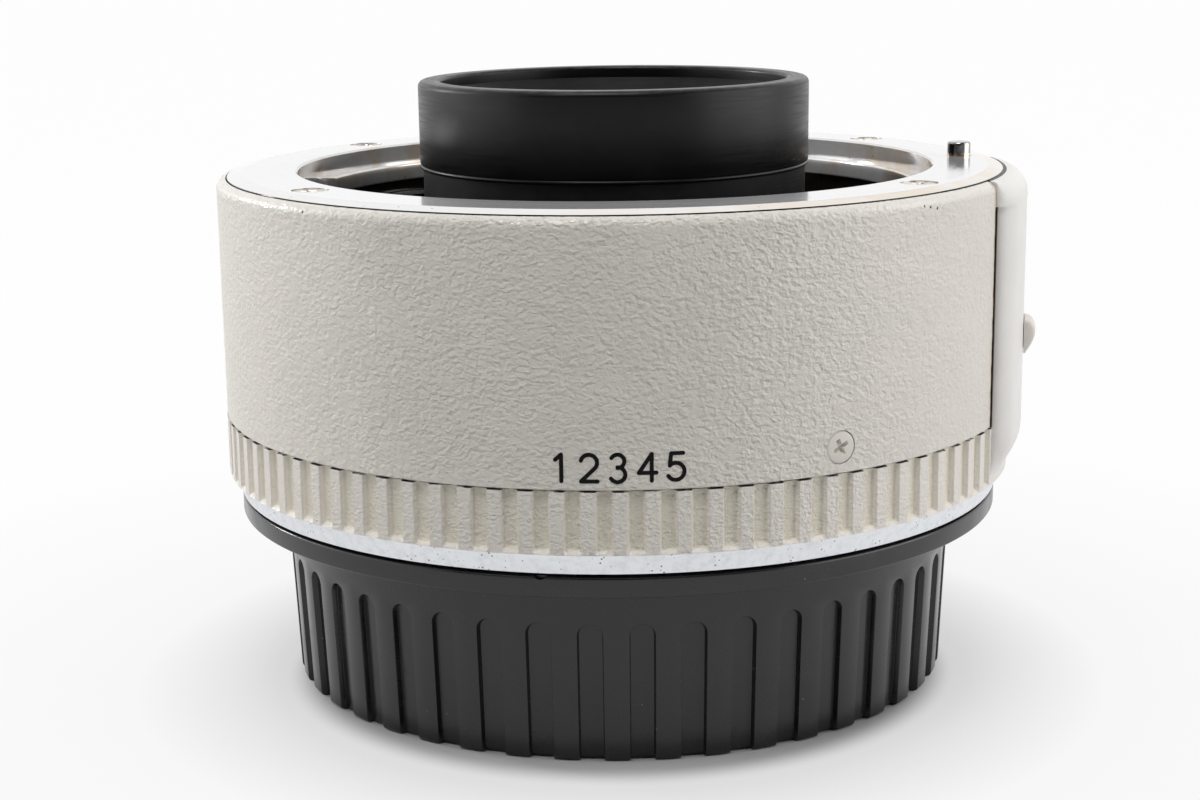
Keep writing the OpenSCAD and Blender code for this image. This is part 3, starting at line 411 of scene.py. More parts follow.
def carve(piece, cutters, crease=30.0):
    """Cut closed shells that don't overlap out of a piece."""
    shell = Shell()
    for cutter in cutters:
        shell.add(cutter, Matrix.Identity(4))
    tool = make_piece(shell, piece.name + "_cutter")
    cut = piece.modifiers.new("carve", "BOOLEAN")
    cut.operation = "DIFFERENCE"
    cut.solver = "EXACT"
    cut.object = tool
    graph = bpy.context.evaluated_depsgraph_get()
    carved = bpy.data.meshes.new_from_object(piece.evaluated_get(graph))
    if len(carved.polygons) < len(piece.data.polygons) // 2:
        raise RuntimeError(f"carving {piece.name} failed")
    piece.modifiers.clear()
    old, piece.data = piece.data, carved
    bpy.data.meshes.remove(old)
    bpy.data.objects.remove(tool)
    mark_creases(piece, crease)


def rod(radius, low, high, matrix):
    """A closed round rod along its own z axis, moved by a matrix."""
    plain, moved = Shell(), Shell()
    plain.tube([plain.row([polar(radius, t, z) for t in full_turn(ROD_STEPS)]) for z in (low, high)])
    moved.add(plain, matrix)
    return moved


def corners(half, low, high):
    """Corners of an upright rectangle, as (across, level)."""
    return [(-half, low), (half, low), (half, high), (-half, high)]


def outward(turn, radius, level):
    """The matrix of a place on the barrel's wall: z points out, and y up."""
    out = Vector((math.cos(turn), math.sin(turn), 0.0))
    along = Vector((-math.sin(turn), math.cos(turn), 0.0))
    up = Vector((0.0, 0.0, 1.0))
    place = Matrix((along, up, out)).transposed().to_4x4()
    place.translation = out * radius + up * level
    return place


def dress(piece, finish, body, slot, *nodes):
    """Give a piece its finish, the CAD nodes it stands for and the body it rides on; the slot argument is not
    used.
    """
    piece.data.materials.clear()
    piece.data.materials.append(finish)
    if nodes:
        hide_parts(*nodes)
    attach(piece, body)


def slot_sheet(half, round_end, open_end, wall_end, half_pitch, section):
    """Rows of (across, level, depth) round one open-ended slot, from its middle out to its share of wall.

    The section gives (offset from the slot's edge, depth)."""
    way = math.copysign(1.0, round_end - open_end)
    bend = round_end - way * half
    levels = steps(open_end, bend, SLOT_SIDE)[:-1]
    bend_turns = steps(0, math.pi, 4 * SLOT_CORNER)
    rows = []
    for offset, depth in section:
        w = half + offset
        rows.append(
            [(-w, z, depth) for z in levels]
            + [(-w * math.cos(t), bend + way * w * math.sin(t), depth) for t in bend_turns]
            + [(w, z, depth) for z in reversed(levels)])
    sides = levels + steps(bend, wall_end, SLOT_CORNER)[:-1]
    rows.append(
        [(-half_pitch, z, 0.0) for z in sides]
        + [(x, wall_end, 0.0) for x in steps(-half_pitch, half_pitch, 2 * SLOT_CORNER)]
        + [(half_pitch, z, 0.0) for z in reversed(sides)])
    return rows


def slotted_wall(shell, sheet, count, first, radius_at):
    """Repeat a slot's sheet round the axis. Gives the turns and numbers of the wall's open and far edges."""
    pitch = TURN / count
    half_pitch = sheet[-1][-1][0]
    open_edge, far_edge = [], []
    for i in range(count):
        centre = first + i * pitch
        turns, rows = [], []
        for line in sheet:
            turn_line = [centre + x / half_pitch * pitch / 2 for x, _, _ in line]
            rows.append(shell.row([polar(radius_at(z) - d, t, z) for t, (_, z, d) in zip(turn_line, line)]))
            turns.append(turn_line)
        shell.skin(rows, closed=False)
        for k in range(len(rows) - 1, 0, -1):
            open_edge.append((turns[k][0], rows[k][0]))
        for k in range(len(rows) - 1):
            open_edge.append((turns[k][-1], rows[k][-1]))
        for k in range(SLOT_SIDE + SLOT_CORNER, SLOT_SIDE + 3 * SLOT_CORNER):
            far_edge.append((turns[-1][k], rows[-1][k]))
    return open_edge, far_edge


def carry_on(shell, edge, profile):
    """Go on from a closed edge through rows of (radius, level) at the same turns. Gives the last edge."""
    turns = [t for t, _ in edge]
    rows = [[n for _, n in edge]]
    rows += [shell.row([polar(radius, t, level) for t in turns]) for radius, level in profile]
    shell.skin(rows)
    return list(zip(turns, rows[-1]))


def cross_reach(turn, arm, half_width):
    """How far a plus-shaped recess reaches from its middle in a direction."""
    quarter = math.pi / 2
    off = abs((turn + quarter / 2) % quarter - quarter / 2)
    return arm / math.cos(off) if off < math.atan2(half_width, arm) else half_width / math.sin(off)


def screw_head(radius, deep, recess, turn):
    """A flat screw head with a cross recess, its face at z = 0."""
    arm, half_width, edge = 0.56 * radius, 0.15 * radius, 0.07 * radius
    corner = math.atan2(half_width, arm)
    inner_corners = [quarter * TURN / 4 + off for quarter in range(4) for off in (corner, TURN / 4 - corner)]
    turns = sorted({*full_turn(96), *inner_corners})
    cross = [cross_reach(t, arm, half_width) for t in turns]
    shell = Shell()
    rows = []
    for level, share in ((-recess, 0.0), (-recess, 0.55), (-0.12 * recess, 0.92), (0.0, 1.0)):
        rows.append(shell.row([polar(share * r, t + turn, level) for t, r in zip(turns, cross)]))
    for level, outer in ((0.0, radius - 2 * edge), (-0.25 * edge, radius - edge), (-edge, radius),
                         (-deep, radius), (-deep, 0.0)):
        rows.append(shell.row([polar(outer, t + turn, level) for t in turns]))
    shell.skin(rows)
    return shell


# Finishes

class Tree:
    """A node tree while it is made, with short calls for its nodes."""

    def __init__(self, owner):
        owner.use_nodes = True
        self.nodes = owner.node_tree.nodes
        self.links = owner.node_tree.links

    def set(self, node, socket, value):
        """Set a socket to a value, or link it to another node's output."""
        if isinstance(value, bpy.types.NodeSocket):
            self.links.new(value, node.inputs[socket])
        else:
            node.inputs[socket].default_value = value

    def node(self, kind, modes=None, **inputs):
        """A new node with its modes and its sockets set."""
        made = self.nodes.new("ShaderNode" + kind)
        for mode, value in (modes or {}).items():
            setattr(made, mode, value)
        for socket, value in inputs.items():
            self.set(made, socket.replace("_", " "), value)
        return made

    def sum_of(self, kind, operation, first, second):
        """The outputs of a node that works on two values."""
        made = self.node(kind, {"operation": operation})
        self.set(made, 0, first)
        self.set(made, 1, second)
        return made.outputs

    def maths(self, operation, first, second=0.0):
        """One sum of two numbers."""
        return self.sum_of("Math", operation, first, second)[0]

    def vectors(self, operation, first, second=(0.0, 0.0, 0.0)):
        """One sum of two vectors: its vector and its value."""
        return self.sum_of("VectorMath", operation, first, second)

    def times(self, first, second):
        """The product of two numbers or masks."""
        return self.maths("MULTIPLY", first, second)

    def union(self, first, second):
        """The larger of two masks."""
        return self.maths("MAXIMUM", first, second)

    def span(self, value, low, high, to_low=0.0, to_high=1.0, smooth=True):
        """Map a range of a value to another range and hold it there."""
        kind = "SMOOTHSTEP" if smooth else "LINEAR"
        return self.node("MapRange", {"interpolation_type": kind}, Value=value, From_Min=low, From_Max=high,
                         To_Min=to_low, To_Max=to_high).outputs[0]

    def blend(self, share, first, second):
        """A mix of two colours."""
        made = self.node("Mix", {"data_type": "RGBA"})
        for socket, value in ((0, share), (6, first), (7, second)):
            self.set(made, socket, value)
        return made.outputs[2]


class Finish(Tree):
    """A material while it is made: its shader, and patterns over the piece to feed it."""

    def __init__(self, name, base, rough, metal=0.0, gloss=0.5):
        self.material = bpy.data.materials.new(name)
        super().__init__(self.material)
        self.shader = self.nodes["Principled BSDF"]
        self.base = (*base, 1.0)
        self.done(Base_Color=self.base, Roughness=rough, Metallic=metal, Specular_IOR_Level=gloss)
        self.place = self.node("TexCoord").outputs["Object"]

    def done(self, **sockets):
        """Feed the shader and give the material."""
        for socket, value in sockets.items():
            self.set(self.shader, socket.replace("_", " "), value)
        return self.material

    def shade(self, share):
        """The base colour times a share."""
        return (*(share * c for c in self.base[:3]), 1.0)

    def grain(self, size, detail=2.0, rough=0.5, warp=0.0, place=None):
        """Noise whose features are about a size across, from 0 to 1."""
        return self.node("TexNoise", Vector=place or self.place, Scale=1.0 / size, Detail=detail,
                         Roughness=rough, Distortion=warp).outputs[0]

    def cells(self, size):
        """Distance to scattered points about a size apart."""
        return self.node("TexVoronoi", Vector=self.place, Scale=1.0 / size).outputs[0]

    def axes(self):
        """The x, y and z of a point on the piece."""
        return self.node("SeparateXYZ", Vector=self.place).outputs

    def turn(self, along=1.0):
        """Turn round the axis, in radians times a length."""
        x, y, _ = self.axes()
        return self.times(self.maths("ARCTAN2", y, x), along)

    def radius(self):
        """Distance from the axis."""
        x, y, _ = self.axes()
        return self.vectors("LENGTH", self.node("CombineXYZ", X=x, Y=y).outputs[0])["Value"]

    def around(self, along):
        """A place with noise drawn out round the axis: (turn times a length, radius, level)."""
        return self.node("CombineXYZ", X=self.turn(along), Y=self.radius(), Z=self.axes()[2]).outputs[0]

    def streak(self, centre, along, across):
        """A mask of one long spot from its middle and its two half axes."""
        gap = self.vectors("SUBTRACT", self.place, centre)[0]
        sides = []
        for axis in (along, across):
            share = self.vectors("DOT_PRODUCT", gap, Vector(axis) / Vector(axis).length_squared)["Value"]
            sides.append(self.maths("POWER", self.maths("ABSOLUTE", share), 2.0))
        return self.span(self.maths("ADD", *sides), 0.3, 1.0, 1.0, 0.0)

    def spots(self, places, size, ragged):
        """A mask of ragged spots at given places."""
        nearest = None
        for place in places:
            gap = self.vectors("DISTANCE", self.place, place)["Value"]
            nearest = gap if nearest is None else self.maths("MINIMUM", nearest, gap)
        uneven = self.span(self.grain(ragged, 3.0, 0.7), 0.25, 0.75, -0.6 * size, 0.6 * size, smooth=False)
        return self.span(self.maths("ADD", nearest, uneven), 0.8 * size, size, 1.0, 0.0)

    def bump(self, height, depth):
        """A bump of a height from 0 to 1 and a real depth."""
        return self.node("Bump", Strength=1.0, Distance=depth, Height=height).outputs[0]


def wrinkled_paint(name, base, size, depth, chips=(), scuff=None, wear_and_gap_shade=None, groove=None,
                   rubbed_from=None):
    """Semi-gloss wrinkled paint: fine swells drawn out sideways, flat patches, chips and a rubbed scuff.

    The function for wear and gap shade blends in worn places, and painted shade that is black in gaps and
    recesses; groove is (radius, depth, colour) of yellowed paint between edges with a painted highlight, and
    the paint is rubbed glossy above the level rubbed_from."""
    paint = Finish(name, base, 0.42)
    drawn = paint.vectors("MULTIPLY", paint.place, (1.0, 1.0, 1.35))[0]
    swells = paint.maths("SUBTRACT", paint.grain(size, 1.0, 0.5, 0.35, place=drawn), 0.5)
    fine = paint.grain(0.36 * size, 1.0, 0.5)
    flat = paint.span(paint.grain(4 * size, 1.0, 0.4, 0.6), 0.58, 0.68, 1.0, 0.4)
    if scuff:
        flat = paint.times(flat, paint.span(paint.streak(*scuff), 0.0, 1.0, 1.0, 0.1))
    height = paint.maths("ADD", paint.times(swells, flat), paint.times(fine, 0.12))
    from_middle = paint.maths("ABSOLUTE", paint.axes()[0])
    height = paint.times(height, paint.span(from_middle, 8 * MM, 26 * MM, 1.0, 0.4))
    mottled = paint.span(paint.grain(12 * size, 3.0, 0.6), 0.3, 0.7)
    now = paint.blend(mottled, paint.base, paint.shade(0.955))
    if groove:
        radius, deep, tint = groove
        sunk = paint.span(paint.radius(), radius - 0.95 * deep, radius - 0.5 * deep, 1.0, 0.0)
        # Painted highlight: the upper walls of a groove are painted pale for the light they catch
        edge = paint.span(paint.radius(), radius - 0.5 * deep, radius - 0.05 * deep, 0.6, 0.0)
        now = paint.blend(sunk, paint.blend(edge, now, PAINTED_EDGE_HIGHLIGHT), (*tint, 1.0))
    if chips:
        now = paint.blend(paint.spots(chips, 0.14 * MM, 0.2 * MM), now, CHIP)
    # The function given blends in wear, and painted shade: black in gaps and recesses
    if wear_and_gap_shade:
        now = wear_and_gap_shade(paint, now)
    normal = paint.bump(height, depth)
    coat = 0.06
    if rubbed_from is not None:
        coat = paint.span(paint.axes()[2], rubbed_from, rubbed_from + 0.5 * MM, coat, 0.9)
    return paint.done(Base_Color=now, Roughness=paint.span(fine, 0.3, 0.7, 0.42, 0.54), Normal=normal,
                      Coat_Weight=coat, Coat_Roughness=0.1, Coat_Normal=normal)


def satin_steel(name, base):
    """Satin steel turned on a lathe: fine lines round the axis and small dark specks."""
    steel = Finish(name, base, 0.34, 0.9)
    lines = steel.grain(0.12 * MM, 2.0, 0.5, place=steel.around(0.6 * MM))
    specks = steel.span(steel.cells(0.4 * MM), 0.1, 0.24, 1.0, 0.0)
    rare = steel.times(specks, steel.span(steel.grain(2.5 * MM, 3.0, 0.6), 0.49, 0.6))
    dull = steel.span(steel.grain(0.7 * MM, 4.0, 0.65), 0.4, 0.75)
    return steel.done(
        Base_Color=steel.blend(rare, steel.blend(dull, steel.base, steel.shade(0.86)), SPECK),
        Roughness=steel.span(lines, 0.3, 0.7, 0.28, 0.42), Normal=steel.bump(lines, 0.0015 * MM))


def bright_mount(name, base, face, rim, throat, well):
    """Polished chrome of the bayonet, black below the level well.

    It has turned lines, a worn bevel warmed toward +X by a painted reflection, a warm painted reflection in
    the throat, brown specks and a dark outer line of painted shade along the gap to the sleeve."""
    chrome = Finish(name, base, 0.1)
    round_place = chrome.around(0.8 * MM)
    lines = chrome.grain(0.16 * MM, 2.0, 0.5, place=round_place)
    radius = chrome.radius()
    bevel = chrome.span(radius, face, face + 0.1 * MM)
    # The bevel's warm tint is wear, made stronger toward +X as a painted reflection of the cream paint
    side = chrome.span(chrome.axes()[0], -16 * MM, 22 * MM, 0.1, 0.9)
    worn = chrome.span(chrome.grain(5 * MM, 3.0, 0.6), 0.3, 0.55, 0.35, 1.0)
    now = chrome.blend(chrome.times(bevel, chrome.times(side, worn)), chrome.base, WORN_BEVEL_AND_REFLECTION)
    # Painted reflection: warm streaks on the throat stand for the cream parts reflected there
    throat_reflection = chrome.times(chrome.span(radius, throat, throat + 0.3 * MM, 1.0, 0.0),
                           chrome.span(chrome.grain(4 * MM, 3.0, 0.6), 0.4, 0.62))
    now = chrome.blend(throat_reflection, now, PAINTED_THROAT_REFLECTION)
    nicks = chrome.times(chrome.span(chrome.cells(0.7 * MM), 0.07, 0.14, 1.0, 0.0),
                         chrome.span(chrome.grain(2 * MM, 2.0, 0.6), 0.53, 0.62))
    rust = chrome.times(bevel, chrome.span(chrome.grain(0.5 * MM, 3.0, 0.7), 0.68, 0.74))
    now = chrome.blend(chrome.union(rust, nicks), now, RUST)
    level = chrome.axes()[2]
    # Painted shade: the rim's outer wall is black for the dark of the gap to the sleeve; below the level well
    # the ring is black
    dark = chrome.union(chrome.span(radius, rim - 0.04 * MM, rim - 0.025 * MM),
                        chrome.span(level, well - 0.05 * MM, well, 1.0, 0.0))
    return chrome.done(
        Base_Color=chrome.blend(dark, now, WELL_AND_RIM_SHADE_BLACK),
        Metallic=chrome.span(level, well - 0.05 * MM, well, 0.0, 0.58),
        Roughness=chrome.span(chrome.grain(1.5 * MM, 3.0, 0.6, place=round_place), 0.35, 0.7, 0.07, 0.17),
        Normal=chrome.bump(lines, 0.0006 * MM))


def cap_plastic(name, base):
    """Satin black plastic with a faint moulded grain, rubbed patches and a little dust."""
    plastic = Finish(name, base, 0.25)
    skin = plastic.grain(0.16 * MM, 2.0, 0.6)
    rubbed = plastic.span(plastic.grain(5 * MM, 4.0, 0.65), 0.4, 0.68)
    dust = plastic.times(plastic.span(plastic.cells(1.1 * MM), 0.03, 0.07, 1.0, 0.0),
                         plastic.span(plastic.grain(2 * MM), 0.55, 0.65))
    return plastic.done(
        Base_Color=plastic.blend(dust, plastic.blend(rubbed, plastic.base, plastic.shade(1.35)), DUST),
        Roughness=plastic.span(rubbed, 0.0, 1.0, 0.2, 0.29), Normal=plastic.bump(skin, 0.003 * MM))


def turned_black(name, base, rough, edge_level=None, lines_deep=0.002 * MM, gloss=0.5):
    """Black anodised metal with faint turned lines, rubbed lighter near an edge's level."""
    black = Finish(name, base, rough, gloss=gloss)
    lines = black.grain(0.14 * MM, 2.0, 0.5, place=black.around(0.5 * MM))
    tone = black.blend(black.span(black.grain(3 * MM, 4.0, 0.6), 0.35, 0.7), black.base, black.shade(1.6))
    if edge_level is not None:
        near = black.span(black.axes()[2], edge_level - 0.35 * MM, edge_level)
        rubbed = black.times(near, black.span(black.grain(1.2 * MM, 4.0, 0.6), 0.3, 0.75))
        tone = black.blend(rubbed, tone, RUBBED_BLACK)
    return black.done(Base_Color=tone, Roughness=black.span(lines, 0.3, 0.7, rough - 0.06, rough + 0.06),
                      Normal=black.bump(lines, lines_deep))


def plain_metal(name, base, rough, size=0.4 * MM, copper_below=None):
    """Bare metal of small parts with a fine uneven polish, and copper below a level where one is given."""
    metal = Finish(name, base, rough, 1.0)
    wear = metal.grain(size, 3.0, 0.6)
    tone = metal.blend(metal.span(wear, 0.35, 0.75), metal.base, metal.shade(0.72))
    if copper_below is not None:
        low = metal.span(metal.axes()[2], copper_below - 0.03 * MM, copper_below + 0.03 * MM, 1.0, 0.0)
        tone = metal.blend(low, tone, COPPER)
    return metal.done(Base_Color=tone, Roughness=metal.span(wear, 0.3, 0.7, rough - 0.05, rough + 0.08),
                      Normal=metal.bump(wear, 0.002 * MM))


def matt_black(name, base, rough, gloss):
    """Matt black moulding or paint with a fine grain."""
    black = Finish(name, base, rough, gloss=gloss)
    skin = black.grain(0.12 * MM, 3.0, 0.6)
    tone = black.blend(black.span(skin, 0.3, 0.7), black.base, black.shade(1.5))
    return black.done(Base_Color=tone, Normal=black.bump(skin, 0.006 * MM))


def coated_glass(name, tint):
    """Clear glass with a faintly tinted coating, and traces of dust."""
    glass = Finish(name, (1.0, 1.0, 1.0), 0.0)
    dust = glass.span(glass.cells(0.9 * MM), 0.02, 0.05, 0.12, 0.0)
    return glass.done(Transmission_Weight=1.0, IOR=1.6, Specular_Tint=(*tint, 1.0), Roughness=dust)


def amber_film(name):
    """Amber film of the flexible circuit with copper tracks along it."""
    film = Finish(name, (0.42, 0.16, 0.03), 0.3)
    tracks = film.span(film.maths("PINGPONG", film.axes()[0], 0.35 * MM), 0.12 * MM, 0.18 * MM)
    return film.done(Base_Color=film.blend(tracks, film.base, COPPER_TRACK))


def index_paint(name, base):
    """Glossy red paint of the index dots, slightly uneven."""
    paint = Finish(name, base, 0.28)
    uneven = paint.grain(0.5 * MM, 3.0, 0.6)
    return paint.done(Base_Color=paint.blend(uneven, paint.base, paint.shade(0.7)),
                      Normal=paint.bump(uneven, 0.01 * MM))


# Operators

class CONVERTER_OT_barrel(bpy.types.Operator):
    """Make the painted sleeve with its wrinkled wall, cut edges and screw holes"""
    bl_idname = "converter.barrel"
    bl_label = "Barrel"

    def execute(self, context):
        own = context.scene.converter
        size, block, screw = own.barrel, own.block, own.screw
        radius, low, high = reach("body_barrel"), foot("body_barrel"), top("body_barrel")
        gap_half = block.half + math.atan(block.gap / radius)
        start, end = block.middle + gap_half, block.middle - gap_half + TURN
        near = [share * size.cut_edge / radius for share in (0.0, 0.15, 0.4, 0.7)]
        columns = round((end - start) * radius / size.grid)
        turns = ([start + a for a in near]
                 + steps(start + size.cut_edge / radius, end - size.cut_edge / radius, columns)
                 + [end - a for a in reversed(near)])
        shoulder = high - size.edge
        rows = round((shoulder - low - size.foot_edge) / size.grid)
        bore, seat = radius - size.wall, high - size.rebate
        profile = ([(radius - size.foot_edge, low)]
                   + [(radius, z) for z in steps(low + size.foot_edge, shoulder, rows)]
                   + arc(radius - size.edge, shoulder, size.edge, 0, 90)[1:]
                   + [(radius - size.lip, high), (radius - size.lip, seat), (bore, seat), (bore, low)])

        def relief(at, level, turn):
            if at < radius - 0.95 * size.edge:
                return 0.0
            inset = min(turn - start, end - turn) * radius
            past = max(0.0, size.cut_edge - inset)
            rounding = size.cut_edge - math.sqrt(max(0.0, size.cut_edge ** 2 - past ** 2))
            place = Vector(polar(radius, turn, level)) / size.wrinkle
            swell = noise.fractal(place, 1.0, 2.0, 2) + 0.35 * noise.noise(place * 0.4)
            return rounding + size.skin + size.relief * min(1.0, max(0.0, 0.5 - 0.7 * swell))

        shell = Shell()
        revolve(shell, profile, turns, whole=False, relief=relief)
        barrel = make_piece(shell, "barrel_sleeve", crease=40.0)
        hole_r, hole_deep = 1.04 * screw.head, 1.2 * MM
        carve(barrel, [
            rod(hole_r, -hole_deep, MM, outward(screw.first + a, radius, middle("body_screws")))
            for a in full_turn(3)], crease=40.0)
        chips = [polar(radius - 0.1 * MM, math.radians(a), z * MM)
                 for a, z in ((-45.4, 42.27), (-46.6, 42.42), (-43.9, 42.11), (-134.0, 42.5))]
        scuff = (polar(radius, math.radians(-92.0), 31 * MM),
                 (1.3 * MM, 0.0, 0.76 * MM), (-0.15 * MM, 0.0, 0.26 * MM))

        def wear_and_gap_shade(paint, now):
            away = paint.maths("ABSOLUTE", paint.maths("SUBTRACT", paint.turn(), block.middle))
            past = paint.times(paint.maths("SUBTRACT", away, gap_half), radius)
            worn = paint.span(past, 0.05 * MM, 0.6 * MM, 0.8, 0.0)
            now = paint.blend(worn, now, PRIMER)
            # Painted shade: the lip's inside, the rebate, the bore and the cut faces beside the block are
            # black, for the dark of the gaps
            inside = paint.span(paint.radius(), radius - 0.99 * size.lip, radius - 0.97 * size.lip, 1.0, 0.0)
            cut = paint.span(past, 0.02 * MM, 0.05 * MM, 1.0, 0.0)
            return paint.blend(paint.union(inside, cut), now, GAP_SHADE_BLACK)

        paint = wrinkled_paint("barrel_paint", own.colours.barrel, 0.46 * MM, 0.26 * MM, chips, scuff, wear_and_gap_shade,
                               rubbed_from=shoulder - 0.1 * MM)
        dress(barrel, paint, CONVERTER, "barrel_paint", "body_barrel")
        return {"FINISHED"}


class CONVERTER_OT_ring(bpy.types.Operator):
    """Make the ribbed ring with grooves that run out at its foot, and a hairline seam under the sleeve"""
    bl_idname = "converter.ring"
    bl_label = "Ribbed ring"

    def execute(self, context):
        own = context.scene.converter
        size = own.ring
        radius, low, high = reach("rear_barrel"), foot("rear_barrel"), foot("body_barrel")
        rib_top, rib_foot = high - size.seam, low + size.margin
        half, pitch = size.groove / 2, TURN / size.count
        sides = [half - share * size.wall for share in (1.5, 1.0, 0.75, 0.5, 0.25, 0.0)]
        offs = [0.0, half / 2, *sides, half + 0.1 * MM]
        spots = sorted({way * x for way in (-1, 1) for x in offs} | {pitch * radius / 2})
        turns = [size.first + i * pitch + x / radius for i in range(size.count) for x in spots]

        def smooth(share):
            share = min(1.0, max(0.0, share))
            return share * share * (3 - 2 * share)

        def relief(at, level, turn):
            if at < radius:
                return 0.0
            off = abs(((turn - size.first) / pitch + 0.5) % 1.0 - 0.5) * pitch * radius
            from_block = abs((turn - own.block.middle + math.pi) % TURN - math.pi)
            if from_block < own.block.half:
                return 0.0
            return size.depth * smooth((half - off) / size.wall) * smooth((level - rib_foot) / size.run_out)

        rising = steps(rib_foot, rib_foot + size.run_out, 6)
        bore, seam_r = radius - own.barrel.wall, radius - size.seam_depth
        profile = ([(radius - size.margin_in, low)]
                   + [(radius, z) for z in rising + steps(rising[-1], rib_top, 6)[1:]]
                   + [(seam_r, rib_top), (seam_r, high), (bore, high), (bore, low)])
        shell = Shell()
        revolve(shell, profile, turns, relief=relief)
        ring = make_piece(shell, "ribbed_ring")

        def wear_and_gap_shade(paint, now):
            # Painted shade: broken black dashes just under the ring's top, for the dark of the hairline seam
            seam = paint.span(paint.axes()[2], rib_top - 0.05 * MM, rib_top - 0.02 * MM)
            seam = paint.times(seam, paint.span(paint.grain(1.5 * MM), 0.36, 0.5))
            return paint.blend(seam, now, GAP_SHADE_BLACK)

        paint = wrinkled_paint("ring_paint", own.colours.ring, 0.34 * MM, 0.22 * MM, wear_and_gap_shade=wear_and_gap_shade,
                               groove=(radius, size.depth, own.colours.groove))
        dress(ring, paint, CONVERTER, "ring_paint", "rear_barrel")
        return {"FINISHED"}


def block_outline(outer, inner, base, half, rise):
    """Outline of the release block about +X, as (radius, turn) from its near inner corner to the far one.

    Its sides are upright to the base radius, and rise from there in a quarter of an ellipse."""
    base = min(base, outer)
    lower = [(r, -half) for r in steps(inner, base, 4)]
    lower += [(base + (outer - base) * math.sin(t), rise / outer * (1 - math.cos(t)) - half)
              for t in steps(0.0, math.pi / 2, 10)][1:]
    lower += [(outer, a) for a in steps(rise / outer - half, 0.0, 12)][1:]
    return lower + [(r, -a) for r, a in reversed(lower[:-1])]


class CONVERTER_OT_block(bpy.types.Operator):
    """Make the release block with its rounded edges, tapered foot, knob slot and screw hollow"""
    bl_idname = "converter.block"
    bl_label = "Release block"

    def execute(self, context):
        own = context.scene.converter
        size = own.block
        body, high = reach("body_barrel"), top("rear_barrel")
        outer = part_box("rear_barrel")[1].x
        low = foot("rear_barrel") + own.ring.margin / 2
        seat = high - own.barrel.rebate
        bore = body - own.barrel.wall
        ledge = reach("front_mount") + size.recess
        taper_top = foot("rear_barrel") + size.taper
        shoulder = high - size.crown
        start = body - own.ring.margin_in
        levels = []
        for t in steps(0.0, 1.0, 10):
            swell = (3 * t * t - 2 * t ** 3) ** 0.8
            levels.append((low + (taper_top - low) * t, start + (outer - start) * swell, bore))
        levels += [(z, outer, bore) for z in steps(taper_top, seat, 4)[1:]]
        levels.append((seat, outer, ledge))
        for t in steps(0.0, math.pi / 2, 12):
            crown = 0.04 + 0.96 * math.cos(t)
            levels.append((shoulder + size.crown * math.sin(t), ledge + (outer - ledge) * crown, ledge))
        shell = Shell()
        rows = []
        for level, radius, inner in levels:
            half = size.half + (0.8 * size.gap / body if inner == ledge else 0.0)
            rows.append(shell.row([polar(r, size.middle + a, level)
                                   for r, a in block_outline(radius, inner, body, half, size.upright)]))
        shell.tube(rows)
        block = make_piece(shell, "release_block", crease=35.0)
        knob = own.knob
        screw_w = top("knob_screw") - foot("knob_screw")
        for end, slot_top, tall, wide in (
                (outer + MM, top("release_knob") - knob.stem_drop, knob.stem_h, knob.stem_w),
                (outer - knob.skin, top("knob_screw"), screw_w, screw_w)):
            section = corners(wide / 2 + knob.play, slot_top - tall - knob.travel - knob.play,
                              slot_top + knob.play)
            slot, turned = Shell(), Shell()
            slot.tube([slot.row([(x, y, z) for y, z in section]) for x in (bore - MM, end)])
            turned.add(slot, Matrix.Rotation(size.middle, 4, "Z"))
            carve(block, [turned], crease=35.0)
        ring_top = foot("body_barrel")

        def wear_and_gap_shade(paint, now):
            radius, level = paint.radius(), paint.axes()[2]
            # Painted shade: black in the slot beside the sleeve and under the ledge by the bayonet ring, for
            # the dark of those gaps
            deep = paint.span(radius, body - 0.02 * MM, body + 0.08 * MM, 1.0, 0.0)
            for edge, way in ((ring_top, (0.0, 1.0)), (seat, (1.0, 0.0))):
                deep = paint.times(deep, paint.span(level, edge - 0.1 * MM, edge, *way))
            inside = paint.span(radius, ledge + 0.02 * MM, ledge + 0.05 * MM, 1.0, 0.0)
            return paint.blend(paint.union(deep, inside), now, GAP_SHADE_BLACK)

        dress(block, wrinkled_paint("block_paint", own.colours.block, 0.4 * MM, 0.05 * MM, wear_and_gap_shade=wear_and_gap_shade),
              CONVERTER, "ring_paint", "rear_barrel")
        return {"FINISHED"}


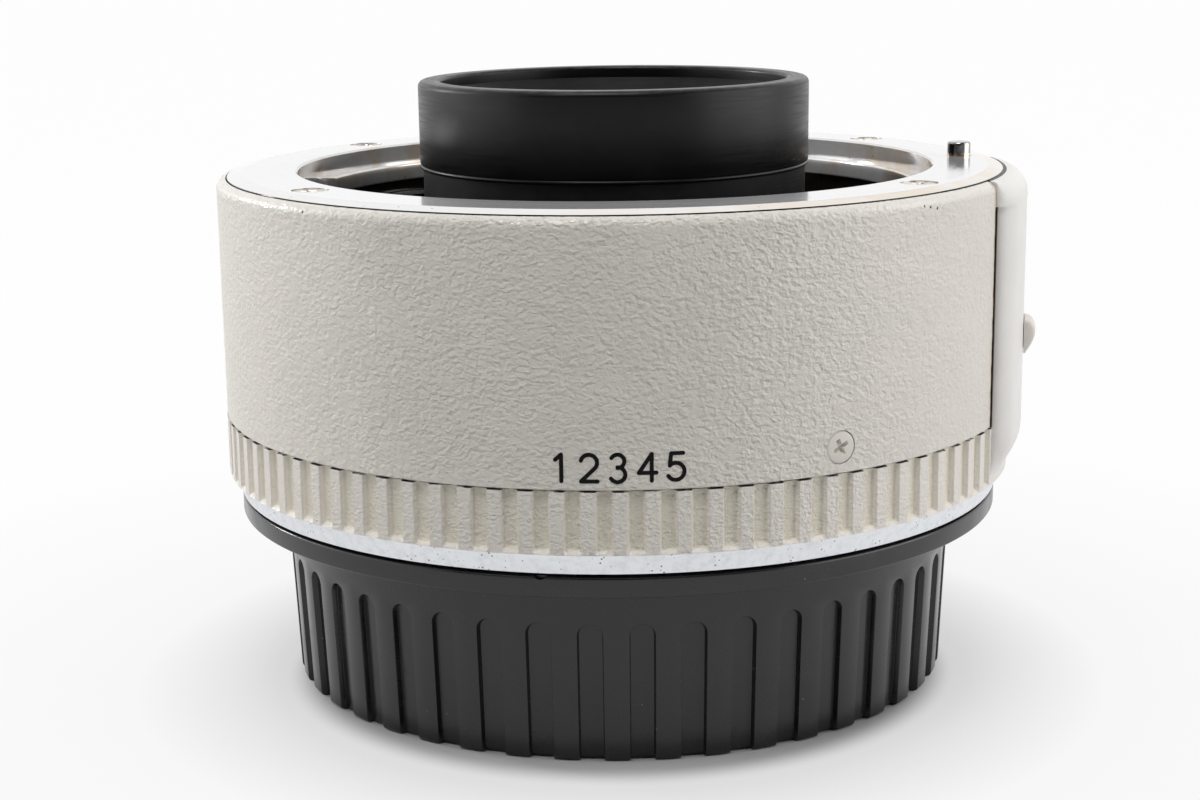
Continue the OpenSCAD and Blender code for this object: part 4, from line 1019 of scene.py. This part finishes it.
class CONVERTER_OT_knob(bpy.types.Operator):
    """Make the release knob: a flat-ended fin with a high crest, on its stem"""
    bl_idname = "converter.knob"
    bl_label = "Release knob"

    def execute(self, context):
        own = context.scene.converter
        size, block = own.knob, own.block
        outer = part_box("rear_barrel")[1].x
        low, high = foot("release_knob") + size.trim, top("release_knob")
        centre, tall, half_w = (low + high) / 2, high - low, size.width / 2
        squareness = 12
        shell = Shell()

        def place(across, up, lift):
            corner = (1 - across ** squareness) ** 0.25
            level = centre + (up - 0.5) * tall * corner
            return polar(outer + lift, block.middle + across * half_w / outer, level)

        def swell(across, up):
            below = up < size.crest
            share = up / size.crest if below else (up - size.crest) / (1 - size.crest)
            fin = math.sin(math.pi / 2 * share) if below else math.sqrt(max(0.0, 1 - share ** 2))
            lift = (size.proud - size.rim - size.under) * fin * (1 - across ** squareness) ** 0.5
            return size.under + size.rim + lift

        columns = [0.995 * math.sin(t) for t in steps(-math.pi / 2, math.pi / 2, 48)]
        heights = steps(0.0, 1.0, 28)
        rows = [shell.row([place(u, v, swell(u, v)) for u in columns]) for v in heights]
        shell.skin(rows, closed=False)
        loop = rows[0] + [row[-1] for row in rows[1:-1]] + rows[-1][::-1] + [row[0] for row in rows[-2:0:-1]]
        spots = ([(u, 0.0) for u in columns] + [(columns[-1], v) for v in heights[1:-1]]
                 + [(u, 1.0) for u in reversed(columns)] + [(columns[0], v) for v in heights[-2:0:-1]])
        back = shell.row([place(u, v, size.under) for u, v in spots])
        shell.band(loop, back)
        shell.lid(back)
        stem_in = reach("body_barrel") - own.barrel.wall - 0.1 * MM
        stem_top = high - size.stem_drop
        section = corners(size.stem_w / 2, stem_top - size.stem_h, stem_top)
        shell.tube([shell.row([polar(radius, block.middle + y / outer, z) for y, z in section])
                    for radius in (stem_in, outer + size.under + 0.1 * MM)])
        knob = make_piece(shell, "release_ledge", crease=50.0)
        dress(knob, wrinkled_paint("knob_paint", own.colours.barrel, 0.4 * MM, 0.015 * MM),
              RELEASE, "knob_paint", "release_knob")
        return {"FINISHED"}


class CONVERTER_OT_cap(bpy.types.Operator):
    """Make the rear cap with its slotted wall, rim, hollow and floor"""
    bl_idname = "converter.cap"
    bl_label = "Rear cap"

    def execute(self, context):
        own = context.scene.converter
        size = own.cap
        rim_r, low, high = reach("rear_cap"), foot("rear_cap"), top("rear_cap")
        wall_top = high - size.rim - size.slope

        def wall(level):
            return size.wall + size.widening * level / wall_top

        half = size.slot / 2
        deep = size.depth
        section = [(-half, deep), (-0.55 * half, deep), (-0.15 * MM, deep), (-0.1 * MM, 0.97 * deep),
                   (-0.07 * MM, 0.85 * deep), (-0.03 * MM, 0.14 * deep), (0.0, 0.03 * deep), (0.06 * MM, 0.0)]
        foot_edge = low + size.foot_edge
        sheet = slot_sheet(half, size.slot_top, foot_edge, size.slot_top + 0.5 * MM,
                           math.pi * size.wall / size.count, section)
        shell = Shell()
        open_edge, far_edge = slotted_wall(shell, sheet, size.count, size.first, wall)
        edge = size.rim_edge
        rim_foot = high - size.rim
        carry_on(shell, far_edge, (
            [(wall(wall_top), wall_top - size.line), (wall(wall_top) - size.line, wall_top),
             (wall(wall_top) + 0.3 * size.line, wall_top + 0.3 * size.line)]
            + arc(rim_r - edge, rim_foot + edge, edge, -60, 0) + arc(rim_r - edge, high - edge, edge, 0, 90)
            + [(size.bore, high), (size.bore, low + size.floor), (0.0, low + size.floor)]))
        scallop = [math.hypot(*shell.points[n][:2]) for _, n in open_edge]
        turns = [t for t, _ in open_edge]
        rows = [[n for _, n in open_edge]]
        for share in (0.3, 0.7, 1.0):
            inset = size.foot_edge * (1 - math.sqrt(1 - share ** 2))
            rows.append(shell.row([polar(r - inset, t, foot_edge - share * size.foot_edge)
                                   for r, t in zip(scallop, turns)]))
        rows.append(shell.row([polar(size.bore, t, low) for t in turns]))
        rows.append(shell.row([polar(0.0, t, low) for t in turns]))
        shell.skin(rows)
        cap = make_piece(shell, "grip_cap", crease=32.0)
        nick_r, nick_deep, nick_rise = 0.62 * MM, 0.4 * MM, 0.38 * MM
        nick = outward(math.radians(-100.3), rim_r, high + nick_rise)
        carve(cap, [rod(nick_r, -nick_deep, nick_deep, nick)], crease=32.0)
        dress(cap, cap_plastic("cap_plastic", own.colours.cap), CAP, "cap_plastic", "rear_cap")
        return {"FINISHED"}


class CONVERTER_OT_mount(bpy.types.Operator):
    """Make the lens bayonet ring with its screw holes, and its three round-ended lugs"""
    bl_idname = "converter.mount"
    bl_label = "Lens bayonet"

    def execute(self, context):
        own = context.scene.converter
        size = own.mount
        rim, low, high = reach("front_mount"), foot("front_mount"), top("front_mount")
        seat = high - size.plate
        slope = math.degrees(math.atan(size.drop / (rim - size.face)))
        profile = (
            [(size.throat + size.mouth, high), (size.face, high)]
            + arc(rim - size.edge, high - size.drop - size.edge, size.edge, 90 - slope, 0)
            + [(rim, seat), (size.skirt, seat), (size.skirt, low), (size.throat, low),
               (size.throat, high - size.mouth)])
        shell = Shell()
        revolve(shell, profile, full_turn(480))
        ring = make_piece(shell, "bayonet_ring", crease=6.0)
        pin_low, pin_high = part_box("lock_pin")
        pin = (pin_low + pin_high) / 2
        screw_deep, dot_deep, pin_play = 0.62 * MM, 0.3 * MM, 0.06 * MM
        sink = [rod(1.03 * size.screw_head, high - screw_deep, high + MM,
                    Matrix.Translation(polar(size.screw_ring, a, 0.0))) for a in MOUNT_SCREWS]
        sink.append(rod((pin_high.x - pin_low.x) / 2 + pin_play, low - MM, high + MM,
                        Matrix.Translation((pin.x, pin.y, 0.0))))
        sink.append(rod(size.dot, high - dot_deep, high + MM,
                        Matrix.Translation((0.0, size.screw_ring, 0.0))))
        carve(ring, sink, crease=6.0)
        chrome = bright_mount("mount_chrome", own.colours.chrome, size.face, rim, size.throat,
                              high - size.lug_drop - size.lug_t - 0.05 * MM)
        dress(ring, chrome, CONVERTER, "mount_chrome", "front_mount")
        lugs = Shell()
        for i in range(3):
            self.lug(lugs, size, high, size.lug_first + i * TURN / 3)
        dress(make_piece(lugs, "bayonet_lugs", crease=25.0), chrome, CONVERTER, "mount_chrome", "front_mount")
        return {"FINISHED"}

    def lug(self, shell, size, high, middle):
        """One inward lug: a rounded bar whose ends round off in plan."""
        width = size.throat - size.lug
        end = width / size.throat
        round_off = [(-size.lug_half + end * (1 - math.cos(t)), math.sin(t))
                     for t in steps(0.05, math.pi / 2, 8)]
        places = round_off + [(a, 1.0) for a in steps(end - size.lug_half, size.lug_half - end, 48)[1:-1]]
        places += [(-a, share) for a, share in reversed(round_off)]
        z1 = high - size.lug_drop
        z0 = z1 - size.lug_t
        root, edge = size.throat + 0.2 * MM, size.lug_edge
        rows = []
        for turn, share in places:
            inner = size.throat - width * share
            section = ([(root, z0)] + arc(inner + edge, z0 + edge, edge, 270, 180, 4)
                       + arc(inner + edge, z1 - edge, edge, 180, 90, 4) + [(root, z1)])
            rows.append(shell.row([polar(r, middle + turn, z) for r, z in section]))
        shell.tube(rows)


class CONVERTER_OT_hood(bpy.types.Operator):
    """Make the black hood with its rounded rim and foot bead, and the front glass"""
    bl_idname = "converter.hood"
    bl_label = "Hood and front glass"

    def execute(self, context):
        own = context.scene.converter
        size = own.hood
        radius, low, high = reach("front_hood"), foot("front_hood"), top("front_hood")
        bead = size.lip / 2
        neck = high - size.rim_t
        profile = (
            [(size.sleeve, low)] + arc(radius - bead, low + bead, bead, -90, 60)
            + [(radius - size.lip_groove, low + size.lip), (radius - 0.02 * MM, low + 1.4 * size.lip)]
            + arc(radius - size.round, high - size.round, size.round, 0, 90, 8)
            + arc(size.rim + size.rim_in, high - size.rim_in, size.rim_in, 90, 180)
            + [(size.rim, neck), (size.sleeve, neck)])
        shell = Shell()
        revolve(shell, profile, full_turn(320))
        hood = make_piece(shell, "front_hood_shell", crease=28.0)
        dress(hood, turned_black("hood_black", own.colours.hood, 0.36, high, 0.0005 * MM, 0.27),
              CONVERTER, "hood_black", "front_hood")
        glass_r, glass_low, glass_high = reach("front_lens"), foot("front_lens"), top("front_lens")
        sag = size.curve - math.sqrt(size.curve ** 2 - glass_r ** 2)
        lens = Shell()
        crown = [(glass_r * t, glass_high - size.curve + math.sqrt(size.curve ** 2 - (glass_r * t) ** 2))
                 for t in steps(1.0, 0.0, 16)]
        hollow = 0.6 * MM
        back = [(0.0, glass_low), (0.5 * glass_r, glass_low + hollow / 4), (glass_r, glass_low + hollow)]
        if glass_high - sag < glass_low + hollow:
            raise RuntimeError("the front glass has no edge")
        revolve(lens, crown + back, full_turn(192))
        dress(make_piece(lens, "front_glass", crease=20.0), coated_glass("front_coating", (0.55, 0.45, 1.0)),
              CONVERTER, "lens_glass", "front_lens")
        return {"FINISHED"}


class CONVERTER_OT_pin(bpy.types.Operator):
    """Make the lock pin with its rounded top"""
    bl_idname = "converter.pin"
    bl_label = "Lock pin"

    def execute(self, context):
        low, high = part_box("lock_pin")
        radius = (high.x - low.x) / 2
        edge, guide, guide_up = 0.2 * MM, 0.7 * MM, 10.4 * MM
        collar = foot("release_slide") + guide_up
        profile = ([(0.0, low.z), (guide, low.z), (guide, collar), (radius, collar)]
                   + arc(radius - edge, high.z - edge, edge, 0, 90) + [(0.0, high.z)])
        shell, moved = Shell(), Shell()
        revolve(shell, profile, full_turn(64))
        moved.add(shell, Matrix.Translation(((low.x + high.x) / 2, (low.y + high.y) / 2, 0.0)))
        chrome = plain_metal("pin_chrome", (0.46, 0.45, 0.44), 0.12,
                             copper_below=top("front_mount") + 0.2 * MM)
        dress(make_piece(moved, "lock_pin_round"), chrome, RELEASE, "pin_chrome", "lock_pin")
        return {"FINISHED"}


class CONVERTER_OT_screws(bpy.types.Operator):
    """Make the barrel's painted screws and the bayonet ring's bright screws"""
    bl_idname = "converter.screws"
    bl_label = "Screws"

    def execute(self, context):
        own = context.scene.converter
        size, mount = own.screw, own.mount
        side = Shell()
        for i in range(3):
            head = screw_head(size.head, size.deep, size.recess, size.turn + i)
            side.add(head, outward(
                size.first + i * TURN / 3, reach("body_barrel") - size.sunk, middle("body_screws")))
        dress(make_piece(side, "barrel_screws", crease=25.0),
              wrinkled_paint("screw_paint", own.colours.barrel, 0.5 * MM, 0.006 * MM),
              CONVERTER, "painted_screw", "body_screws")
        face = Shell()
        for i, a in enumerate(MOUNT_SCREWS):
            head = screw_head(mount.screw_head, size.deep, size.recess, size.turn + 1.7 * i)
            face.add(head, Matrix.Translation(
                polar(mount.screw_ring, a, top("front_mount") - size.sunk)))
        dress(make_piece(face, "bayonet_screws", crease=25.0),
              plain_metal("screw_steel", (0.62, 0.55, 0.46), 0.2),
              CONVERTER, "mount_screw_steel", "front_mount_screws")
        return {"FINISHED"}


def digit_strokes(digit):
    """Strokes of a digit as rows of points in a box DIGIT_WIDE wide and 1 high."""
    def bow(x, y, size, start, end, tall=1.0):
        return [(x + size * math.cos(a), y + tall * size * math.sin(a))
                for a in steps(math.radians(start), math.radians(end), 14)]
    shapes = {
        "0": [bow(0.31, 0.5, 0.31, 90, 450, 1.6)],
        "1": [[(0.14, 0.8), (0.36, 1.0), (0.36, 0.0)]],
        "2": [bow(0.31, 0.7, 0.3, 165, -38) + [(0.02, 0.0), (0.62, 0.0)]],
        "3": [bow(0.29, 0.75, 0.25, 150, -90), bow(0.29, 0.25, 0.28, 90, -150)],
        "4": [[(0.47, 0.0), (0.47, 1.0), (0.0, 0.3), (0.64, 0.3)]],
        "5": [[(0.56, 1.0), (0.12, 1.0), (0.07, 0.54)] + bow(0.29, 0.32, 0.32, 130, -150)],
        "6": [bow(0.31, 0.31, 0.31, 180, 540), [(0.0, 0.31)] + bow(0.44, 0.42, 0.44, 175, 95, 1.3)],
        "7": [[(0.02, 1.0), (0.62, 1.0), (0.22, 0.0)]],
        "8": [bow(0.31, 0.75, 0.25, 90, 450), bow(0.31, 0.26, 0.29, 90, 450)],
        "9": [bow(0.31, 0.69, 0.31, 0, 360), [(0.62, 0.69)] + bow(0.18, 0.58, 0.44, -5, -85, 1.3)],
    }
    return shapes[digit]


def stroke_ribbon(shell, line, width, wrap):
    """A thin raised stroke with round joints and ends along a flat line, wrapped onto the barrel."""
    half = width / 2
    outlines = [[(x + half * math.cos(t), y + half * math.sin(t)) for t in full_turn(16)] for x, y in line]
    for (x0, y0), (x1, y1) in zip(line, line[1:]):
        run = math.hypot(x1 - x0, y1 - y0)
        off_x, off_y = half * (y0 - y1) / run, half * (x1 - x0) / run
        outlines.append([(x0 - off_x, y0 - off_y), (x1 - off_x, y1 - off_y),
                         (x1 + off_x, y1 + off_y), (x0 + off_x, y0 + off_y)])
    for outline in outlines:
        high, low = (shell.row([wrap(x, y, lift) for x, y in outline]) for lift in (0.0, -0.1 * MM))
        shell.band(low, high)
        shell.lid(high)
        shell.lid(low)


class CONVERTER_OT_number(bpy.types.Operator):
    """Print a plain number on the barrel in round-ended strokes"""
    bl_idname = "converter.number"
    bl_label = "Number"

    def execute(self, context):
        own = context.scene.converter
        size = own.number
        radius = reach("body_barrel") - 0.004 * MM
        run = (size.end - size.start) * radius
        digit_w = DIGIT_WIDE * size.height
        pitch = (run - digit_w) / (len(size.digits) - 1)
        base = foot("body_barrel") + size.foot
        shell = Shell()
        for i, digit in enumerate(size.digits):
            for line in digit_strokes(digit):
                flat = [(i * pitch + x * size.height, y * size.height) for x, y in line]
                stroke_ribbon(shell, flat, size.stroke, lambda x, y, lift: polar(
                    radius + lift, size.start + x / radius, base + y))
        dress(make_piece(shell, "printed_number", crease=40.0),
              matt_black("number_ink", (0.006, 0.006, 0.006), 0.6, 0.1), CONVERTER, "baffle_black")
        return {"FINISHED"}


class CONVERTER_OT_inner_parts(bpy.types.Operator):
    """Give every CAD node that stays its finish"""
    bl_idname = "converter.inner_parts"
    bl_label = "Carried-over parts"

    def execute(self, context):
        tint = context.scene.converter.colours
        black = (0.009, 0.009, 0.0095)
        steel = plain_metal("inner_steel", (0.55, 0.55, 0.56), 0.3)
        glass = coated_glass("inner_coating", (0.7, 1.0, 0.75))
        baffle = matt_black("baffle_black", black, 0.7, 0.06)
        moulding = matt_black("contact_plastic", black, 0.45, 0.25)
        alloy = turned_black("black_alloy", black, 0.5, gloss=0.15)
        gold = plain_metal("contact_gold", tint.gold, 0.22, 0.2 * MM)
        finishes = {
            satin_steel("flange_steel", tint.band): ["rear_mount"],
            steel: ["rear_mount_screws", "lens_cell_screws", "knob_screw", "release_slide", "release_spring",
                    "mount_spring"],
            plain_metal("black_screw", (0.05, 0.05, 0.055), 0.4): ["rear_baffle_screws"],
            baffle: ["rear_baffle", "front_baffle"],
            moulding: ["rear_contact_block", "front_contact_block"],
            gold: ["rear_contacts", "contact_pins"],
            plain_metal("frame_alloy", (0.30, 0.30, 0.32), 0.45, 0.8 * MM): ["main_frame"],
            alloy: ["lens_cell", "front_retaining_ring", "front_spacer", "rear_spacer",
                    "rear_retaining_ring"],
            glass: ["second_lens", "pair_front_lens", "pair_rear_lens", "rear_lens"],
            amber_film("circuit_film"): ["flex_circuit"],
            index_paint("index_red", tint.red): ["index_dots"],
        }
        for finish, names in finishes.items():
            for name in names:
                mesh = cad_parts[name].data
                mesh.materials.clear()
                mesh.materials.append(finish)
        return {"FINISHED"}


class CONVERTER_OT_studio(bpy.types.Operator):
    """Set the floor, the soft lights, the pale room and the camera"""
    bl_idname = "converter.studio"
    bl_label = "Studio"

    def execute(self, context):
        studio = context.scene.converter.studio
        self.floor(studio)
        self.room(context.scene, studio)
        for name, place, aim, wide, tall, power in (
                ("key_light", (-0.3, -0.36, 0.5), (0.0, 0.0, 0.03), 0.16, 0.16, studio.key),
                ("left_light", (-0.34, -0.05, 0.14), (0.0, 0.0, 0.025), 0.34, 0.3, 0.7 * studio.side),
                ("right_light", (0.36, -0.08, 0.14), (0.0, 0.0, 0.025), 0.34, 0.3, 1.6 * studio.side),
                ("edge_light", (-0.39, 0.19, 0.16), (-0.03, -0.02, 0.043), 0.05, 0.1, studio.edge),
                ("top_light", (-0.05, -0.2, 0.55), (0.0, 0.0, 0.03), 0.28, 0.18, studio.over)):
            self.light(name, Vector(place), Vector(aim), wide, tall, power)
        self.camera(context.scene, studio)
        context.scene.view_settings.view_transform = "Standard"
        return {"FINISHED"}

    def floor(self, studio):
        """A wide paper floor that keeps the shadow near the object and is white far from it."""
        shell = Shell()
        half = 3.0
        shell.lid(shell.row([(x, y, 0.0) for x, y in corners(half, -half, half)]))
        floor = make_piece(shell, "floor")
        paper = Finish("floor_paper", studio.floor, 0.9, gloss=0.0)
        shadow_shift = (0.0, 4.2 * MM, 0.0)
        away = paper.vectors("LENGTH", paper.vectors("ADD", paper.place, shadow_shift)[0])["Value"]
        far = 0.0
        for start, end, share, smooth in FLOOR_WHITE:
            far = paper.maths("ADD", far, paper.span(away, start, end, 0.0, share, smooth))
        seen = self.seen_rays(paper)
        white = paper.node("Emission", Strength=1.0)
        mixed = paper.node("MixShader", Fac=paper.times(far, seen))
        paper.set(mixed, 1, paper.shader.outputs[0])
        paper.set(mixed, 2, white.outputs[0])
        paper.set(paper.nodes["Material Output"], "Surface", mixed.outputs[0])
        floor.data.materials.append(paper.material)

    def seen_rays(self, tree):
        """A mask of the rays that show the background: camera, glossy and transmission."""
        path = tree.node("LightPath").outputs
        seen = tree.union(path["Is Camera Ray"], path["Is Glossy Ray"])
        return tree.union(seen, path["Is Transmission Ray"])

    def room(self, scene, studio):
        """A white room for the rays that show it, with a dim front for the light it gives."""
        scene.world = bpy.data.worlds.new("studio_room")
        room = Tree(scene.world)
        path = room.node("LightPath").outputs
        way = room.node("SeparateXYZ", Vector=room.node("TexCoord").outputs["Generated"]).outputs
        dim = room.span(way["Y"], -0.32, 0.5, 0.06, 1.0)
        seen = room.union(path["Is Camera Ray"], path["Is Transmission Ray"])
        shown = room.union(seen, room.times(path["Is Glossy Ray"], dim))
        back = room.nodes["Background"]
        room.set(back, "Color", (1.0, 1.0, 1.0, 1.0))
        room.set(back, "Strength", room.union(shown, room.times(dim, studio.room)))

    def light(self, name, place, aim, wide, tall, power):
        """One soft rectangular light, aimed at a point."""
        lamp = bpy.data.lights.new(name, "AREA")
        lamp.shape = "RECTANGLE"
        lamp.size, lamp.size_y, lamp.energy = wide, tall, power
        light = bpy.data.objects.new(name, lamp)
        light.location = place
        light.rotation_euler = (aim - place).to_track_quat("-Z", "Y").to_euler()
        bpy.context.scene.collection.objects.link(light)

    def camera(self, scene, studio):
        """The camera at the photograph's place and angle."""
        lens = bpy.data.cameras.new("camera")
        lens.sensor_width = 36.0
        lens.lens = studio.lens
        lens.clip_start = 5 * MM
        camera = bpy.data.objects.new("camera", lens)
        place = Vector((0.0, -studio.far * math.cos(studio.pitch),
                        studio.aim + studio.far * math.sin(studio.pitch)))
        camera.matrix_world = (
            Matrix.Translation(place) @ Matrix.Rotation(math.pi / 2 - studio.pitch, 4, "X")
            @ Matrix.Rotation(studio.yaw, 4, "Y") @ Matrix.Rotation(-studio.roll, 4, "Z"))
        scene.collection.objects.link(camera)
        scene.camera = camera


PIECE_OPERATORS = (
    CONVERTER_OT_barrel, CONVERTER_OT_ring, CONVERTER_OT_block, CONVERTER_OT_knob, CONVERTER_OT_cap,
    CONVERTER_OT_mount, CONVERTER_OT_hood, CONVERTER_OT_pin, CONVERTER_OT_screws, CONVERTER_OT_number,
    CONVERTER_OT_inner_parts, CONVERTER_OT_studio,
)


class CONVERTER_PT_panel(bpy.types.Panel):
    """Sidebar panel with one button for each group of pieces"""
    bl_idname = "CONVERTER_PT_panel"
    bl_label = "Teleconverter"
    bl_space_type = "VIEW_3D"
    bl_region_type = "UI"
    bl_category = "Converter"

    def draw(self, context):
        for operator in PIECE_OPERATORS:
            self.layout.operator(operator.bl_idname)


CLASSES = (
    BarrelSizes, RingSizes, BlockSizes, KnobSizes, CapSizes, MountSizes, HoodSizes, ScrewSizes, NumberSizes,
    Colours, Studio, ConverterSettings, *PIECE_OPERATORS, CONVERTER_PT_panel,
)


def register():
    """Add the settings, operators and panel to Blender."""
    for cls in CLASSES:
        bpy.utils.register_class(cls)
    bpy.types.Scene.converter = PointerProperty(type=ConverterSettings)


def unregister():
    """Take them out again."""
    del bpy.types.Scene.converter
    for cls in reversed(CLASSES):
        bpy.utils.unregister_class(cls)


def main():
    """Build everything in order."""
    register()
    make = bpy.ops.converter
    make.barrel()
    make.ring()
    make.block()
    make.knob()
    make.cap()
    make.mount()
    make.hood()
    make.pin()
    make.screws()
    make.number()
    make.inner_parts()
    make.studio()
    bpy.context.view_layer.update()


if __name__ == "__main__":
    main()
